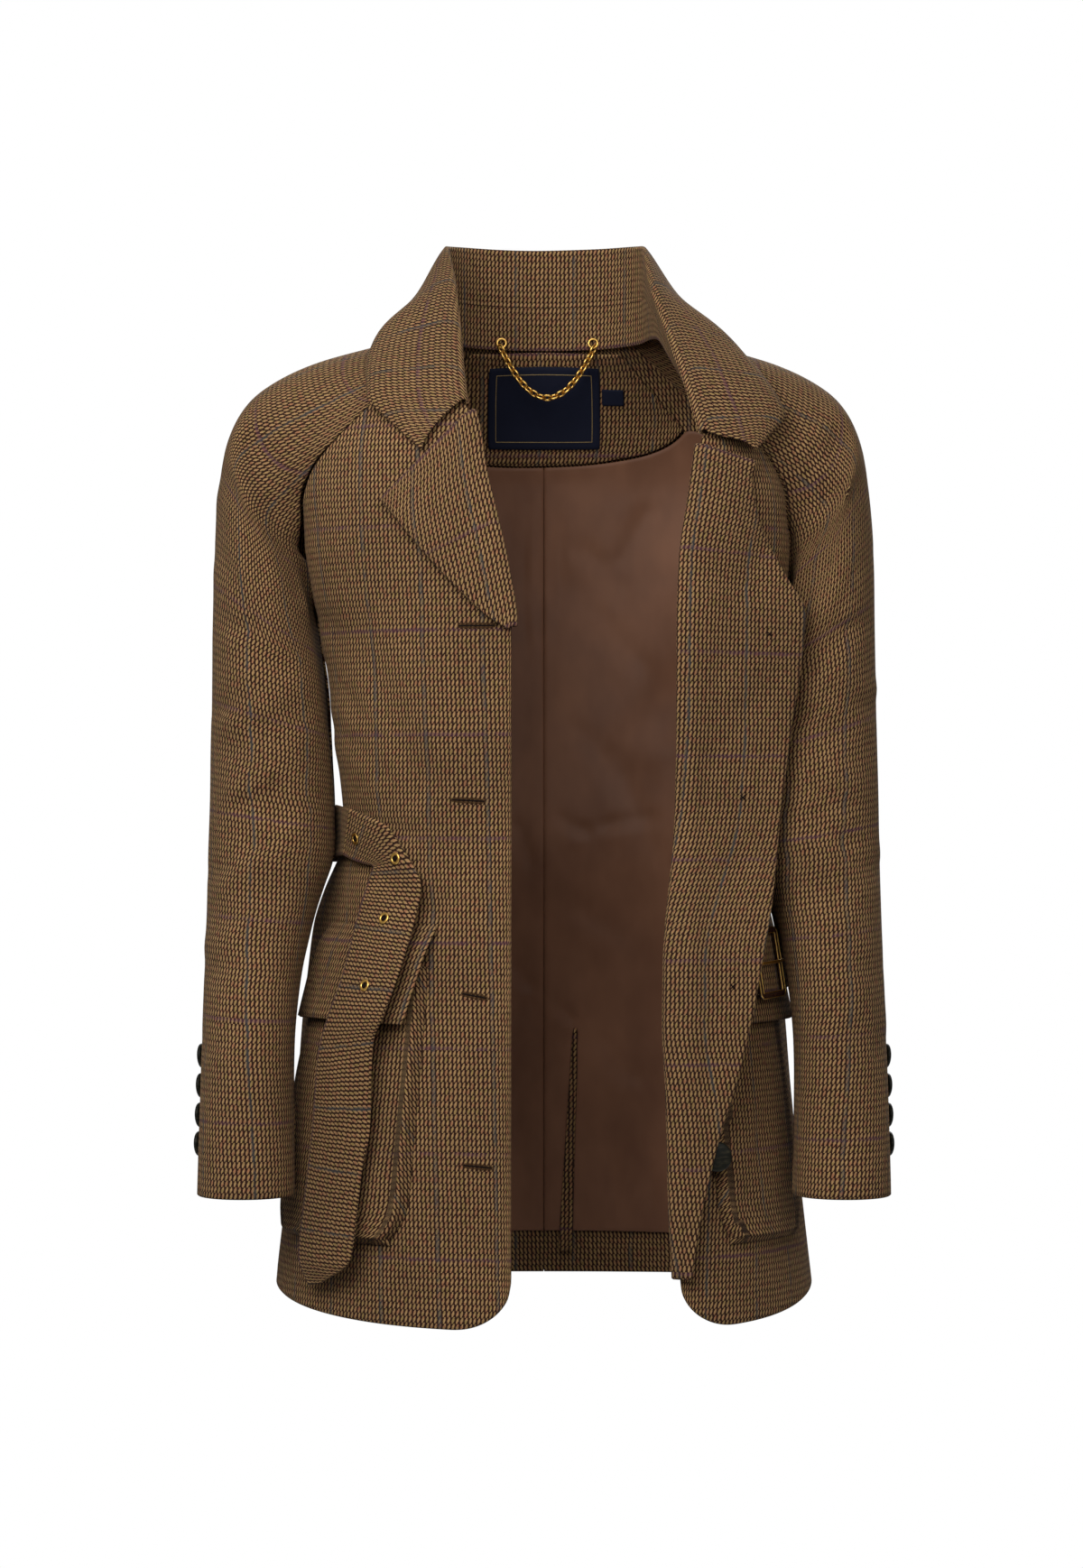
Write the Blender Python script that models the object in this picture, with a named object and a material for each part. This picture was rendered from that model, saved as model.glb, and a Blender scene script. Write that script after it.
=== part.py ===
"""Belted tweed jacket, open and filled out with no wearer.

Metres in Blender, +Z up, front towards -Y, +X on the wearer's left. The origin is the
middle of the neck base, where the wearer's shoulders carry the jacket. Sizes and tables
below are millimetres. Every cloth piece is a sheet of rows and columns that gets a wall.
"""
import math

import bmesh
import bpy
import numpy as np

MM = 0.001
CLOTH = 1.7
DOUBLE_CLOTH = 2.4
SATIN = 1.0
RIGHT, LEFT = -1, 1
SIDE_NAME = {RIGHT: "right", LEFT: "left"}

HEM_FRONT, HEM_SIDE, HEM_BACK = -766, -744, -757
# Where each front starts, at its edge and at the raglan seam.
FRONT_TOP = {RIGHT: (-24, -18), LEFT: (-84, -54)}
BACK_TOP = 6
# Where each sleeve half starts along its length, at the shoulder ridge and at the raglan seam.
SLEEVE_TOP = {(RIGHT, -1): (0.004, 0.03), (RIGHT, 1): (0.004, 0.0),
              (LEFT, -1): (0.012, 0.055), (LEFT, 1): (0.012, 0.0)}
FRONT_CORNER_RADIUS = 36
ARMPIT = -230
SLEEVE_CLEARANCE = 5.6
BELT_ROOM, BUCKLE_LEVEL = 17, -482

BELT_WIDTH, BELT_THICK = 44, 2.6
POCKET_DEPTH = {RIGHT: 11, LEFT: 6.6}
FRONT_BUTTON = (23, 3.6)
CUFF_BUTTON = (19.5, 3.4)
EYELET = (9.5, 5.0, 1.2)
CHAIN_THICK = 3.6
LINING_HEM = -722
LINING_GAP = 3.4

TWEED = ("tweed", (0.16, 0.09, 0.04), 0.95, 0.0)
LINING = ("lining", (0.075, 0.032, 0.018), 0.45, 0.0)
NAVY = ("navy_label", (0.008, 0.010, 0.022), 0.7, 0.0)
GOLD = ("gold", (0.75, 0.46, 0.12), 0.25, 1.0)
HORN = ("dark_horn", (0.012, 0.012, 0.009), 0.3, 0.0)
ENAMEL = ("dark_enamel", (0.02, 0.008, 0.006), 0.2, 0.0)


def table(columns, *rows):
    """A short table: each column becomes an array under its own name."""
    values = np.array(rows, float)
    return {name: values[:, i] for i, name in enumerate(columns.split())}


def read(rows, key, at, *columns):
    """Smooth curve through a table's rows, with no overshoot, read at one key for some columns."""
    keys = rows[key]
    order = np.argsort(keys)
    keys = keys[order]
    at = min(max(at, keys[0]), keys[-1])
    i = min(max(int(np.searchsorted(keys, at)) - 1, 0), len(keys) - 2)
    span = keys[i + 1] - keys[i]
    t = (at - keys[i]) / span
    found = []
    for column in columns:
        values = rows[column][order]
        rise = np.diff(values) / np.diff(keys)
        before, after = rise[:-1], rise[1:]
        both = before + after + (before + after == 0)
        even = np.where(before * after > 0, 2 * before * after / both, 0)
        slopes = np.concatenate((rise[:1], even, rise[-1:]))
        found.append((2 * t ** 3 - 3 * t ** 2 + 1) * values[i] + (t ** 3 - 2 * t ** 2 + t) * span * slopes[i]
                     + (3 * t ** 2 - 2 * t ** 3) * values[i + 1] + (t ** 3 - t ** 2) * span * slopes[i + 1])
    return found[0] if len(columns) == 1 else np.array(found)


def bezier(p0, p1, p2, p3, t):
    """A point on a cubic curve from p0 to p3."""
    s = 1 - t
    return s ** 3 * p0 + 3 * s * s * t * p1 + 3 * s * t * t * p2 + t ** 3 * p3


# Seams and edges of the shell. x is the distance from the centre plane; angles at a seam
# turn from outward (0) to forward (90) to inward (180), in degrees.
FRONT_SEAM = table(
    "z x y right_turn left_turn sleeve_turn",
    (10, 72, -34, 160, 160, -20), (-24, 104, -58, 158, 158, -22), (-56, 135, -70, 155, 155, -25),
    (-83, 162, -70, 146, 142, -20), (-105, 180, -62, 130, 118, -2), (-130, 189, -50, 108, 88, 24),
    (-160, 189, -32, 90, 68, 54), (-195, 182, -12, 76, 54, 76), (-230, 173, 0, 70, 50, 86),
    (-300, 163, 0, 72, 62, 90), (-394, 158, 0, 88, 84, 90), (-430, 171, 0, 104, 100, 90),
    (-465, 182, 0, 112, 106, 90), (-510, 188, 0, 106, 100, 90), (-600, 197, 0, 90, 90, 90),
    (-770, 216, 0, 90, 90, 90))
BACK_SEAM = table(
    "z x y back_turn sleeve_turn",
    (10, 66, 42, 160, -20), (-24, 104, 72, 156, -24), (-60, 140, 88, 150, -26), (-100, 168, 86, 136, -8),
    (-140, 182, 70, 118, 30), (-180, 182, 42, 104, 62), (-230, 173, 0, 90, 86), (-300, 163, 0, 80, 90),
    (-394, 158, 0, 76, 90), (-430, 171, 0, 74, 90), (-465, 182, 0, 74, 90), (-510, 188, 0, 74, 90),
    (-600, 197, 0, 80, 90), (-770, 216, 0, 90, 90))
FRONT_EDGE = {
    RIGHT: table("z x y", (0, 92, -46), (-24, 86, -64), (-44, 80, -80), (-64, 57, -97), (-113, 48, -114),
                 (-143, 41, -121), (-188, 31, -127), (-230, 25, -130), (-300, 25, -130), (-394, 25, -123),
                 (-500, 25, -134), (-650, 25, -146), (-770, 25, -152)),
    LEFT: table("z x y", (-40, 126, -74), (-84, 122, -96), (-135, 115, -108),
                (-177, 109, -112), (-230, 107, -114), (-394, 108, -104), (-500, 106, -116), (-650, 105, -128),
                (-770, 103, -136))}
FRONT_HOLD = table("z right left", (10, 0.58, 0.58), (-300, 0.58, 0.58), (-394, 0.58, 0.5),
                   (-470, 0.58, 0.36), (-700, 0.58, 0.38), (-770, 0.58, 0.45))
BACK_DEPTH = table(
    "z y", (10, 76), (-24, 90), (-60, 106), (-110, 120), (-180, 123), (-260, 111), (-394, 90), (-500, 106),
    (-650, 123), (-770, 131))

# Soft folds pressed into a sheet along a line in the front view: depth is how far the
# trough lies back, half its width on either side.
CHEST_FOLDS = {
    RIGHT: table("x0 z0 x1 z1 depth width", (232, -86, 205, -136, 9, 17), (205, -136, 190, -200, 12, 15)),
    LEFT: table("x0 z0 x1 z1 depth width", (236, -78, 222, -125, 9, 14), (222, -125, 205, -200, 11, 15))}
SLEEVE_FOLDS = table(
    "x0 z0 x1 z1 depth width", (258, -215, 205, -262, 5, 16), (262, -330, 196, -300, 5, 18),
    (205, -372, 262, -402, 6, 18), (262, -452, 204, -430, 4, 16))
FRONT_FOLDS = {
    RIGHT: table("x0 z0 x1 z1 depth width", (150, -232, 92, -352, 5, 22), (146, -410, 84, -452, 5, 17),
                 (60, -300, 40, -480, 3, 22)),
    LEFT: table("x0 z0 x1 z1 depth width", (160, -250, 140, -360, 5, 20), (150, -412, 128, -470, 4, 16))}
BACK_FOLDS = table(
    "x0 z0 x1 z1 depth width", (150, -240, 70, -318, 5, 26), (150, -296, 95, -330, 4, 22),
    (128, -470, 150, -590, 6, 26), (52, -480, 60, -620, 5, 26), (60, -90, 40, -200, 3, 26))


def fold_depth(folds, x, z):
    """How deep the table's folds press at a place in the front view."""
    depth = 0.0
    for x0, z0, x1, z1, deep, width in zip(*(folds[c] for c in "x0 z0 x1 z1 depth width".split())):
        run = np.array((x1 - x0, z1 - z0))
        along = np.dot((x - x0, z - z0), run) / np.dot(run, run)
        nearest = np.array((x0, z0)) + min(max(along, 0), 1) * run
        past = max(-along, along - 1, 0) * np.linalg.norm(run)
        across = math.hypot(x - nearest[0], z - nearest[1])
        depth += deep * math.exp(-(across / width) ** 2 * 2) * math.exp(-(past / width) ** 2)
    return depth


def front_point(side, z, u):
    """The shell's front at height z: u runs from the front edge or roll (0) to the seam (1)."""
    edge_x, edge_y = read(FRONT_EDGE[side], "z", z, "x", "y")
    edge = np.array((edge_x, edge_y))
    seam_x, seam_y, turn = read(FRONT_SEAM, "z", z, "x", "y", f"{SIDE_NAME[side]}_turn")
    seam = np.array((seam_x, seam_y))
    lean = np.array((math.cos(math.radians(turn)), -math.sin(math.radians(turn))))
    p1 = edge + np.array((0.52 * (seam_x - edge_x), -1.0))
    hold = read(FRONT_HOLD, "z", z, SIDE_NAME[side])
    p2 = seam + lean * hold * max(abs(seam_y - edge_y), 0.42 * (seam_x - edge_x))
    x, y = bezier(edge, p1, p2, seam, u)
    fade = math.sin(math.pi * min(max(u, 0), 1)) ** 1.5
    y += fold_depth(FRONT_FOLDS[side], x, z) * fade
    return np.array((side * x, y, z))


def back_point(side, z, u):
    """The shell's back at height z: u runs from the centre back (0) to the seam (1)."""
    depth = read(BACK_DEPTH, "z", z, "y")
    seam_x, seam_y, turn = read(BACK_SEAM, "z", z, "x", "y", "back_turn")
    centre, seam = np.array((0, depth)), np.array((seam_x, seam_y))
    lean = np.array((math.cos(math.radians(turn)), math.sin(math.radians(turn))))
    p1 = centre + np.array((0.55 * seam_x, 0))
    p2 = seam + lean * 0.6 * max(abs(depth - seam_y), 0.4 * seam_x)
    x, y = bezier(centre, p1, p2, seam, u)
    fade = math.sin(math.pi * min(max(u, 0), 1)) ** 1.5
    y -= fold_depth(BACK_FOLDS, x, z) * fade
    return np.array((side * x, y, z))


def body_reach(side, y, z):
    """How far out the shell reaches at one depth and height."""
    surface = front_point if y < 0 else back_point
    line = np.array([surface(side, z, u) for u in np.linspace(0.25, 1, 24)])
    order = np.argsort(line[:, 1])
    return float(np.interp(y, line[order, 1], np.abs(line[order, 0]), left=0, right=0))


# The sleeve from the neck (0) to the cuff (1): the ridge along shoulder and outer arm, and
# the height of the raglan or underarm seam on the same row. reach is how far the section
# swells to the front and to the back.
SLEEVE_ROWS = table(
    "v ridge_x ridge_y ridge_z seam_z reach",
    (0.00, 84, 5, 12, 6, 16), (0.07, 126, 7, 0, -30, 26), (0.15, 182, 6, -16, -60, 40),
    (0.21, 212, 4, -30, -86, 50), (0.27, 233, 2, -46, -112, 60), (0.32, 246, 1, -66, -138, 70),
    (0.37, 254, -1, -90, -165, 80), (0.43, 259, -3, -124, -196, 88), (0.50, 262, -6, -170, -232, 92),
    (0.58, 263, -11, -235, -270, 90), (0.67, 264, -17, -320, -336, 86), (0.76, 265, -30, -410, -416, 80),
    (0.85, 266, -52, -500, -502, 72), (0.93, 267, -78, -590, -590, 64), (1.00, 268, -95, -668, -668, 59))
UNDERARM = table(
    "z x y", (-232, 178, 0), (-270, 172, -4), (-336, 167, -14), (-400, 165, -28), (-451, 179, -44),
    (-513, 191, -66), (-562, 194, -80), (-668, 192, -95))


def sleeve_point(side, half, v, u):
    """The sleeve's front (-1) or back (1) half: u runs from the ridge (0) to the seam (1)."""
    ridge_x, ridge_y, ridge_z, seam_z, reach = read(
        SLEEVE_ROWS, "v", v, "ridge_x", "ridge_y", "ridge_z", "seam_z", "reach")
    rows = FRONT_SEAM if half < 0 else BACK_SEAM
    seam_x, seam_y, turn = read(rows, "z", seam_z, "x", "y", "sleeve_turn")
    under_x, under_y = read(UNDERARM, "z", seam_z, "x", "y")
    under = min(max((ARMPIT + 80 - seam_z) / 90, 0), 1)
    under = under * under * (3 - 2 * under)
    seam_x += (under_x - seam_x) * under
    seam_y += (under_y - seam_y) * under
    ridge = np.array((ridge_x, ridge_y, ridge_z))
    seam = np.array((seam_x, seam_y, seam_z))
    lean = np.array((math.cos(math.radians(turn)), half * math.sin(math.radians(turn)), 0))
    point = bezier(ridge, ridge + np.array((0, half * reach, 0)), seam + lean * reach, seam, u)
    fade = math.sin(math.pi * min(max(u, 0), 1)) ** 1.5
    if half < 0:
        point[1] += fold_depth(CHEST_FOLDS[side], point[0], point[2]) * fade
        point[1] += fold_depth(SLEEVE_FOLDS, point[0], point[2]) * fade
    else:
        point[1] -= fold_depth(SLEEVE_FOLDS, point[0], point[2] + 24) * fade
    if point[2] < ARMPIT + 110:
        settle = min((ARMPIT + 110 - point[2]) / 50, 1)
        room = SLEEVE_CLEARANCE * settle
        if side == LEFT:
            room += BELT_ROOM * math.exp(-((point[2] - BUCKLE_LEVEL) / 46) ** 2)
        point[0] = max(point[0], body_reach(side, point[1], point[2]) + room)
    point[0] *= side
    return point


def normals(grid):
    """Unit normals of a sheet of points, exact to second order at its edges too."""
    def places(axis):
        steps = np.linalg.norm(np.diff(grid, axis=axis), axis=2).mean(axis=1 - axis)
        return np.concatenate(((0,), np.cumsum(steps)))

    across = np.gradient(grid, places(1), axis=1, edge_order=2)
    down = np.gradient(grid, places(0), axis=0, edge_order=2)
    normal = np.cross(across, down)
    return normal / np.linalg.norm(normal, axis=2, keepdims=True)


def sheet(surface, rows, columns):
    """Points of a surface function at each row and column value."""
    return np.array([[surface(r, c) for c in columns] for r in rows])


def moved(grid, distance, outward):
    """A sheet moved along its normals; outward is a direction its middle faces."""
    normal = normals(grid)
    middle = normal[grid.shape[0] // 2, grid.shape[1] // 2]
    sign = 1 if np.dot(middle, outward) > 0 else -1
    return grid + normal * sign * distance


def material(finish):
    """One Principled material for a finish row of name, colour, roughness, metallic."""
    name, colour, roughness, metallic = finish
    found = bpy.data.materials.get(name)
    if found:
        return found
    made = bpy.data.materials.new(name)
    made.use_nodes = True
    shader = made.node_tree.nodes["Principled BSDF"]
    shader.inputs["Base Color"].default_value = (*colour, 1)
    shader.inputs["Roughness"].default_value = roughness
    shader.inputs["Metallic"].default_value = metallic
    return made


def node(name, points, faces, finish):
    """One named object from millimetre points and faces, with its faces pointing out."""
    mesh = bpy.data.meshes.new(name)
    mesh.from_pydata([tuple(np.array(p) * MM) for p in points], [], faces)
    work = bmesh.new()
    work.from_mesh(mesh)
    bmesh.ops.recalc_face_normals(work, faces=work.faces)
    bmesh.ops.triangulate(work, faces=work.faces)
    work.to_mesh(mesh)
    work.free()
    mesh.shade_smooth()
    mesh.set_sharp_from_angle(angle=math.radians(40))
    mesh.materials.append(material(finish))
    thing = bpy.data.objects.new(name, mesh)
    bpy.context.collection.objects.link(thing)
    return thing


def wall(name, grid, thickness, outward, finish=TWEED):
    """A closed cloth wall: the sheet is its outer face and its inner face lies behind it."""
    inner = moved(grid, -thickness, outward)
    rows, columns = grid.shape[:2]
    count = rows * columns
    points = [*grid.reshape(-1, 3), *inner.reshape(-1, 3)]
    faces = []
    for r in range(rows - 1):
        for c in range(columns - 1):
            a, b = r * columns + c, r * columns + c + 1
            quad = (a, b, b + columns, a + columns)
            faces += [quad, tuple(count + i for i in reversed(quad))]
    rim = [c for c in range(columns)]
    rim += [r * columns + columns - 1 for r in range(1, rows)]
    rim += [(rows - 1) * columns + c for c in range(columns - 2, -1, -1)]
    rim += [r * columns for r in range(rows - 2, 0, -1)]
    for i, a in enumerate(rim):
        b = rim[(i + 1) % len(rim)]
        faces.append((b, a, count + a, count + b))
    return node(name, points, faces, finish)


for thing in list(bpy.data.objects):
    bpy.data.objects.remove(thing, do_unlink=True)

FORWARD, BACKWARD = np.array((0, -1, 0)), np.array((0, 1, 0))


def outward_of(side, y=0.0):
    """A direction out of the body on one side, leaning to the front or the back."""
    return np.array((side, y, 0.0))


def front_hem(side, u):
    """Hem height along a front: a round corner at the edge, rising a little to the side."""
    edge_x = read(FRONT_EDGE[side], "z", HEM_FRONT, "x")
    seam_x = read(FRONT_SEAM, "z", HEM_FRONT, "x")
    run = u * (seam_x - edge_x) * 1.25
    corner = 0.0
    if run < FRONT_CORNER_RADIUS:
        left_over = FRONT_CORNER_RADIUS - run
        corner = FRONT_CORNER_RADIUS - math.sqrt(FRONT_CORNER_RADIUS ** 2 - left_over ** 2)
    return HEM_FRONT + corner + (HEM_SIDE - HEM_FRONT) * u ** 2.2


def front_panel(side):
    """One front from collar to hem, from its edge or roll line to the raglan and side seam."""
    columns = np.array((0, 0.02, 0.06, 0.13, 0.23, 0.36, 0.5, 0.64, 0.77, 0.89, 0.9985))
    shares = np.linspace(0, 1, 23)

    edge_top, seam_top = FRONT_TOP[side]

    def surface(share, u):
        top = edge_top + (seam_top - edge_top) * u
        return front_point(side, top + (front_hem(side, u) - top) * share, u)
    return sheet(surface, shares, columns)


def back_panel(side):
    """One half of the back from the neck seam to the hem."""
    columns = np.array((0.0009, 0.16, 0.32, 0.48, 0.64, 0.8, 0.92, 0.9972))
    shares = np.concatenate(((0, 0.016, 0.032), np.linspace(0.052, 1, 19)))

    def surface(share, u):
        hem = HEM_BACK + (HEM_SIDE - HEM_BACK) * u ** 2
        return back_point(side, BACK_TOP + (hem - BACK_TOP) * share, u)
    return sheet(surface, shares, columns)


def sleeve_half(side, half):
    """One sleeve half from the neck to the cuff."""
    columns = np.array((0.002, 0.12, 0.26, 0.42, 0.58, 0.74, 0.88, 0.984))
    ridge_top, seam_top = SLEEVE_TOP[side, half]

    def surface(share, u):
        top = ridge_top + (seam_top - ridge_top) * u
        return sleeve_point(side, half, top + (1 - top) * share, u)
    return sheet(surface, np.concatenate(((0, 0.024), np.linspace(0.048, 1, 21))), columns)


for side in (RIGHT, LEFT):
    word = SIDE_NAME[side]
    wall(f"front_{word}", front_panel(side), CLOTH, FORWARD)
    wall(f"back_{word}", back_panel(side), CLOTH, BACKWARD)
    wall(f"sleeve_{word}_front", sleeve_half(side, -1), CLOTH, outward_of(side, -1.0))
    wall(f"sleeve_{word}_back", sleeve_half(side, 1), CLOTH, outward_of(side, 1.0))


# Fronts that turn back on themselves: each row goes from the roll or fold line at roll_z to
# a place on the free edge, at least the roll's lift off the front under it.
TURNED = {
    RIGHT: table(
        "row roll_z edge_x edge_z edge_y lift",
        (0, -63, 126, -133, -106, 7), (1, -88, 118, -142, -110, 7), (2, -116, 107, -156, -116, 7),
        (3, -150, 91, -175, -124, 7), (4, -186, 67, -201, -131, 7), (5, -214, 42, -224, -136, 7),
        (6, -231, 28, -233, -137, 7)),
    LEFT: table(
        "row roll_z edge_x edge_z edge_y lift",
        (0, -90, 163, -103, -100, 8), (1, -106, 160, -115, -100, 8), (2, -136, 165, -145, -97, 8),
        (3, -162, 175, -169, -94, 8), (4, -188, 189, -194, -91, 8), (5, -214, 202, -219, -89, 8),
        (6, -258, 199, -259, -89, 8), (7, -310, 191, -310, -90, 9), (8, -373, 183, -373, -93, 12),
        (9, -442, 175, -442, -112, 24), (10, -490, 166, -490, -128, 29), (11, -535, 157, -535, -137, 29),
        (12, -580, 146, -580, -140, 25), (13, -621, 133, -621, -143, 22), (14, -680, 119, -680, -146, 18),
        (15, -728, 111, -728, -146, 11))}
ROLL_STEP, ROLL_BEHIND = 1.3, 2.0


def front_depth(side, x, z):
    """Depth of the shell's front at a place in the front view."""
    line = np.array([front_point(side, z, u) for u in np.linspace(0, 0.97, 40)])
    line = line[:np.argmax(np.abs(line[:, 0])) + 1]
    return float(np.interp(x, np.abs(line[:, 0]), line[:, 1]))


def turned_point(side, row, t):
    """A turned front: t runs from the roll (0) to the free edge (1)."""
    roll_z, edge_x, edge_z, edge_y, lift = read(
        TURNED[side], "row", row, "roll_z", "edge_x", "edge_z", "edge_y", "lift")
    roll_x, roll_y = read(FRONT_EDGE[side], "z", roll_z, "x", "y")
    x, z = roll_x + (edge_x - roll_x) * t, roll_z + (edge_z - roll_z) * t
    roll_y -= lift
    return np.array((side * x, min(front_depth(side, x, z) - lift, roll_y + (edge_y - roll_y) * t), z))


def turned_front(side, rows):
    """The turned sheet with its roll: round the edge of the front, then back over it."""
    flat = np.array((0.03, 0.12, 0.25, 0.42, 0.6, 0.8, 1.0))
    grid = []
    for row in np.linspace(0, TURNED[side]["row"][-1], rows):
        roll_z, lift = read(TURNED[side], "row", row, "roll_z", "lift")
        roll_x, roll_y = read(FRONT_EDGE[side], "z", roll_z, "x", "y")
        radius = lift / 2
        turn = []
        for a in np.radians((0, 60, 120)):
            x = roll_x - ROLL_STEP - radius * math.sin(a)
            y = roll_y + ROLL_BEHIND - 1.3 * radius * (1 - math.cos(a))
            turn.append(np.array((side * x, y, roll_z)))
        grid.append(turn + [turned_point(side, row, t) for t in flat])
    return np.array(grid)


wall("facing_right", turned_front(RIGHT, 13), DOUBLE_CLOTH, FORWARD)
wall("facing_left", turned_front(LEFT, 25), DOUBLE_CLOTH, FORWARD)

# The collar from the wearer's right gorge round the back to the left one: where it is sewn
# to the neck, where it folds over, and its free edge.
COLLAR = table(
    "row neck_x neck_y neck_z fold_x fold_y fold_z edge_x edge_y edge_z",
    (0, -64, -82, -54, -58, -98, -58, -95, -112, -94), (1, -68, -70, -36, -61, -88, -36, -137, -84, -54),
    (2, -75, -50, -12, -64, -66, -2, -140, -44, -22), (3, -82, -20, 4, -70, -28, 46, -130, 4, 6),
    (4, -78, 22, 9, -76, 22, 77, -108, 58, -2), (5, -44, 60, 9, -46, 60, 80, -62, 92, -10),
    (6, 0, 71, 9, 0, 70, 80, 0, 97, -14), (7, 44, 60, 9, 46, 60, 80, 62, 92, -10),
    (8, 78, 22, 9, 77, 22, 77, 108, 58, -2), (9, 88, -20, 3, 82, -26, 46, 136, 4, 5),
    (10, 98, -52, -18, 94, -58, 4, 166, -34, -24), (11, 115, -70, -52, 108, -88, -42, 188, -76, -66),
    (12, 126, -84, -80, 119, -104, -82, 163, -106, -95))
COLLAR_ENDS = ((0, 1), (11, 12))
STAND_SHARE = 0.44
COLLAR_ROLL = 4.0


def collar_row(row):
    """Neck, fold and free-edge points of one collar row; the two ends are straight, so its points are sharp."""
    columns = "neck_x neck_y neck_z fold_x fold_y fold_z edge_x edge_y edge_z".split()
    values = np.array(read(COLLAR, "row", row, *columns))
    for low, high in COLLAR_ENDS:
        if low < row < high:
            first, last = (np.array(read(COLLAR, "row", end, *columns)) for end in (low, high))
            values = first + (last - first) * (row - low)
    return values[:3], values[3:6], values[6:]


def collar_stand_point(row, t):
    """Inside of the stand, from the neck seam (0) to the seam under the fold (1)."""
    neck, fold, _ = collar_row(row)
    return neck + (fold - neck) * STAND_SHARE * t


def collar_fall_point(row, t):
    """The fall: up inside from the stand (-1 to 0), round the fold (to 1) and down to its edge (2)."""
    neck, fold, edge = collar_row(row)
    if t < 0:
        return fold + (neck - fold) * (1 - STAND_SHARE) * -t * 0.985
    rise = np.array((0, 0, 1.0))
    out = (edge - fold) * np.array((1, 1, 0))
    out /= np.linalg.norm(out)
    turn = math.radians(125) * min(t, 1)
    point = fold + COLLAR_ROLL * (out * (1 - math.cos(turn)) + rise * math.sin(turn))
    if t <= 1:
        return point
    length = np.linalg.norm(edge - point)
    leave = out * math.sin(turn) + rise * math.cos(turn)
    return bezier(point, point + leave * 0.3 * length, edge + (rise * 0.3 - out * 0.1) * length, edge, t - 1)


stand_rows = np.concatenate((np.linspace(0, 3, 7), np.linspace(3.5, 8.5, 11), np.linspace(9, 12, 7)))
wall("collar_stand", sheet(collar_stand_point, stand_rows, np.linspace(0, 1, 3)), CLOTH, FORWARD)
fall_columns = np.array((-1, -0.4, 0, 0.5, 1, 1.25, 1.5, 1.75, 2))
wall("collar_fall", sheet(collar_fall_point, stand_rows, fall_columns), CLOTH, BACKWARD)

# The inside of the back that shows through the open front.
FACING_INSET = CLOTH + LINING_GAP + CLOTH
LINING_INSET = CLOTH + LINING_GAP + SATIN
LABEL_THICK, LABEL_GAP = 0.9, 0.95
LINING_DROP = 2.2
FACING_LOW, FACING_BOW, FACING_CENTRE = -87, 0.0042, -7
FACING_TOP = -2


def back_signed(z, s):
    """The back at height z from the right seam (-1) past the centre (0) to the left seam (1)."""
    return back_point(RIGHT if s < 0 else LEFT, z, abs(s))


def back_at(x, z):
    """The back at a place in the front view."""
    side = RIGHT if x < 0 else LEFT
    line = np.array([back_point(side, z, u) for u in np.linspace(0, 0.98, 24)])
    depth = np.interp(abs(x), np.abs(line[:, 0]), line[:, 1])
    return np.array((x, depth, z))


def facing_low(s):
    """Height of the neck facing's lower edge, where the lining is sewn on."""
    return FACING_LOW + FACING_BOW * (100 * s - FACING_CENTRE) ** 2


def neck_facing_point(share, s):
    """The tweed facing inside the back neck, with a bowed lower edge."""
    return back_signed(FACING_TOP + (facing_low(s) - FACING_TOP) * share, s)


def lining_point(side, share, u):
    """One half of the satin lining inside the back."""
    top = facing_low(side * u) - LINING_DROP - 420 * max(u - 0.72, 0) ** 2
    return back_point(side, top + (LINING_HEM - top) * share, u)


def inside(name, grid, inset, thickness, finish):
    """A piece that lies inside the back: its face is the back's outer points moved in."""
    wall(name, moved(grid, -inset, BACKWARD), thickness, FORWARD, finish)


inside("back_neck_facing", sheet(neck_facing_point, np.linspace(0, 1, 5), np.linspace(-0.72, 0.74, 12)),
       FACING_INSET, CLOTH, TWEED)
for side in (RIGHT, LEFT):
    columns = np.array((0.0016, 0.16, 0.32, 0.48, 0.64, 0.8, 0.95))
    grid = sheet(lambda share, u: lining_point(side, share, u), np.linspace(0, 1, 16), columns)
    inside(f"lining_{SIDE_NAME[side]}", grid, LINING_INSET, SATIN, LINING)
VENT = table("share left_x right_x", (0, 25, 28.5), (0.5, 19, 25.5), (1, 13, 23.5))
VENT_TOP, VENT_LOW, VENT_GAP = -553, -738, 1.9


def vent_point(share, t):
    """The strip of tweed that shows beside the vent, wider towards the hem."""
    left_x, right_x = read(VENT, "share", share, "left_x", "right_x")
    return back_at(left_x + (right_x - left_x) * t, VENT_TOP + (VENT_LOW - VENT_TOP) * share)


inside("vent_underlay", sheet(vent_point, np.linspace(0, 1, 8), np.linspace(0, 1, 3)),
       LINING_INSET + VENT_GAP + CLOTH, CLOTH, TWEED)
for name, left_x, right_x, top, low in (("label", -46, 46, -8, -73), ("size_tab", 48.5, 66, -25, -37)):
    inside(name, sheet(lambda z, x: back_at(x, z), np.linspace(top, low, 4), np.linspace(left_x, right_x, 7)),
           FACING_INSET + LABEL_GAP + LABEL_THICK, LABEL_THICK, NAVY)

# Bellows patch pockets with flaps, by distance along the front from edge (0) to seam (1).
POCKET_TOP, POCKET_LOW = -493, -702
FLAP_TOP, FLAP_LOW = -462, -537
POCKET_INNER_X = {RIGHT: (90, 108), LEFT: (120, 136)}
FLAP_INNER_X = {RIGHT: (82, 100), LEFT: (116, 124)}
POCKET_CORNER = 34
POCKET_SWELL = 0.27
POCKET_OUTER = {RIGHT: 0.83, LEFT: 0.74}
FLAP_OUTER = {RIGHT: 0.83, LEFT: 0.8}
FLAP_EASE = {RIGHT: 0.25, LEFT: 0.0}
FLAP_LIFT = {RIGHT: (3.1, 21.5), LEFT: (4.2, 12.5)}
PATCH_GAP = 1.1


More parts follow.
